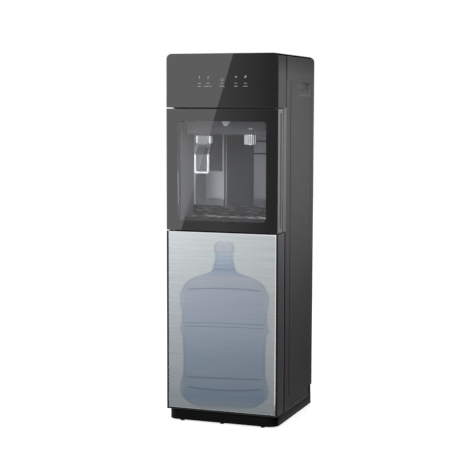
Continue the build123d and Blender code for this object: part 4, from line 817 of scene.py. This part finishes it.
# rippled strip along the foot of the niche's back wall; its depth is a sine of the height that sways along it
ripples = {"halfWide": 0.1395, "low": 0.5905, "high": 0.6178, "back": -0.0262, "front": -0.0278,
           "depth": 0.0018, "pitch": 0.0085, "wave": (0.052, 0.023), "sway": (0.34, 0.16)}
strip = np.linspace(-ripples["halfWide"], ripples["halfWide"], 180)[:, None]
rise = np.linspace(ripples["low"], ripples["high"], 26)
bend = sum(sway * np.sin(2 * np.pi * strip / wave) for sway, wave in zip(ripples["sway"], ripples["wave"]))
phase = (rise - ripples["low"]) / ripples["pitch"] + bend
ripple = ripples["front"] - ripples["depth"] * (0.5 + 0.5 * np.sin(2 * np.pi * phase))
rippleStrip = ringSkin("rippleStrip", np.concatenate([
    points(strip, ripple, rise), points(strip, ripples["back"], [ripples["high"], ripples["low"]])], 1), ripplePlastic)
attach(rippleStrip, "cabinet")

# bright rods on the column's rib and in the left rear corner, pale as painted highlights; x, y, radius, foot and top
rods = ((-0.039, -0.0262, 0.0019, 0.6182, 0.8266), (-0.1386, -0.0244, 0.0017, 0.6182, 0.8266))
nicheHighlightRods = joined([
    ringSkin("rod", rounded(x, y, (0.7 * r, r, r, 0.7 * r), (foot, foot + 0.4 * r, top - 0.4 * r, top), 16), material,
             smooth=True) for (x, y, r, foot, top), material in zip(rods, (rodSatin, palePlastic))], "nicheHighlightRods")
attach(nicheHighlightRods, "cabinet")

# black lips round the two slots of the right plate: dark pieces of painted shade in the slots
slots = {"ends": (0.0462, 0.1010), "heights": (0.807, 0.771), "half": 0.00125, "leastCorner": 0.0003,
         "steps": ((-0.0010, -0.0235), (-0.0010, -0.0250), (0.0009, -0.0250), (0.0009, -0.0235))}   # inset and depth
slotPieces = []
for height in slots["heights"]:
    foot, top = ((x, height + half) for x, half in zip(slots["ends"], (-slots["half"], slots["half"])))
    slotPieces.append(ringSkin("lip", stepped(outlineOf(foot, top, 0.0, slots["leastCorner"]), slots["steps"]),
                               beadRubber, loop=True))
slotShadeLips = joined(slotPieces, "slotShadeLips")
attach(slotShadeLips, "cabinet")

# two small lamp domes on the hood's face: a dome's radius and depth are a cosine and a sine
domes = {"places": ((0.0712, 0.8442), (0.0777, 0.8443)), "foot": -0.1338, "radius": 0.0013}
domeAngle = np.linspace(0, 1.35, 5)[:, None]
domeWide, domeDepth = domes["radius"] * np.cos(domeAngle), domes["foot"] - domes["radius"] * np.sin(domeAngle)
hoodLamps = joined([
    ringSkin("dome", points(x + domeWide * np.cos(turns(16)), domeDepth, z + domeWide * np.sin(turns(16))), lampWhite,
             smooth=True) for x, z in domes["places"]], "hoodLamps")
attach(hoodLamps, "cabinet")
print("niche pieces made")


# Door seals, side beads and screws

seals = {
    "half": 0.1473, "corner": 0.007, "leastCorner": 0.001,
    # bellows section: inset from its outer edge and height off the door's back
    "section": [(0.0, 0.0), (0.0, 0.0006), (0.0008, 0.0010), (0.0, 0.0014), (0.0001, 0.0022), (0.0009, 0.0027),
                (0.0051, 0.0027), (0.0059, 0.0022), (0.0060, 0.0014), (0.0052, 0.0010), (0.0060, 0.0006),
                (0.0060, 0.0)],
    # foot, top and the door's back
    "doors": (("lowerSeal", "lower_door", 0.040, 0.546, -0.106), ("upperSeal", "upper_door", 0.568, 0.886, -0.126)),
}
sealHalf = seals["half"]
for name, door, foot, top, back in seals["doors"]:
    sealOutline = outlineOf((-sealHalf, foot), (sealHalf, top), seals["corner"], seals["leastCorner"])
    seal = ringSkin(name, stepped(sealOutline, np.add(seals["section"], (0.0, back))), finishes["rubber_black"],
                    loop=True)
    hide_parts(door + "_seal")
    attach(seal, door)

# half-round black bead down the front edge of each side's sunk field: a dark strip of painted shade along the field's
# step
bead = {"face": 0.1659, "proud": 0.0014, "sunk": 0.0004, "middle": -0.0562, "half": 0.0036,
        "steps": ((0.0740, 0.5), (0.0760, 1.0), (0.9760, 1.0), (0.9780, 0.5))}     # height and share of its width
arc = np.linspace(0, np.pi, 9)
sectionX = bead["face"] + np.append(bead["proud"] * np.sin(arc), [-bead["sunk"]] * 2)
sectionY = bead["half"] * np.append(np.cos(arc), [-1, 1])
fieldShadeBeads = joined([
    ringSkin("bead", [points(side * sectionX, bead["middle"] + sectionY * share, z) for z, share in bead["steps"]],
             beadRubber) for side in (-1, 1)], "fieldShadeBeads")
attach(fieldShadeBeads, "cabinet")

# pan head with a cross recess: a shallow dome less two crossed troughs, over rings of falling radius
screw = {"x": 0.1445, "lowest": 0.103, "pitch": 0.210, "rows": 5, "face": 0.150, "radius": 0.0035, "high": 0.0020,
         "fall": 0.45, "armLong": 0.0019, "armHalf": 0.00042, "recess": 0.0012,
         "rings": (1.0, 1.0, 0.95, 0.85, 0.7, 0.6, 0.5, 0.42, 0.34, 0.26, 0.18, 0.12, 0.06)}    # shares of its radius
radii = screw["radius"] * np.array(screw["rings"])
turnX, turnZ = (radii[:, None] * wave(turns(48)) for wave in (np.cos, np.sin))
share = np.hypot(turnX, turnZ) / screw["radius"]
awayX, awayZ, armLong, armHalf = np.abs(turnX), np.abs(turnZ), screw["armLong"], screw["armHalf"]
inArm = ((awayX < armHalf) & (awayZ < armLong)) | ((awayZ < armHalf) & (awayX < armLong))
height = screw["high"] * (1 - screw["fall"] * share ** 4) - screw["recess"] * inArm
height[0] = 0.0
crossScrews = joined([
    ringSkin("head", points(x + turnX, screw["face"] + height, screw["lowest"] + row * screw["pitch"] + turnZ),
             finishes["zinc_steel"]) for x in (-screw["x"], screw["x"]) for row in range(screw["rows"])], "crossScrews")
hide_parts("screws")
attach(crossScrews, "cabinet")
print("seals, beads and screws made")
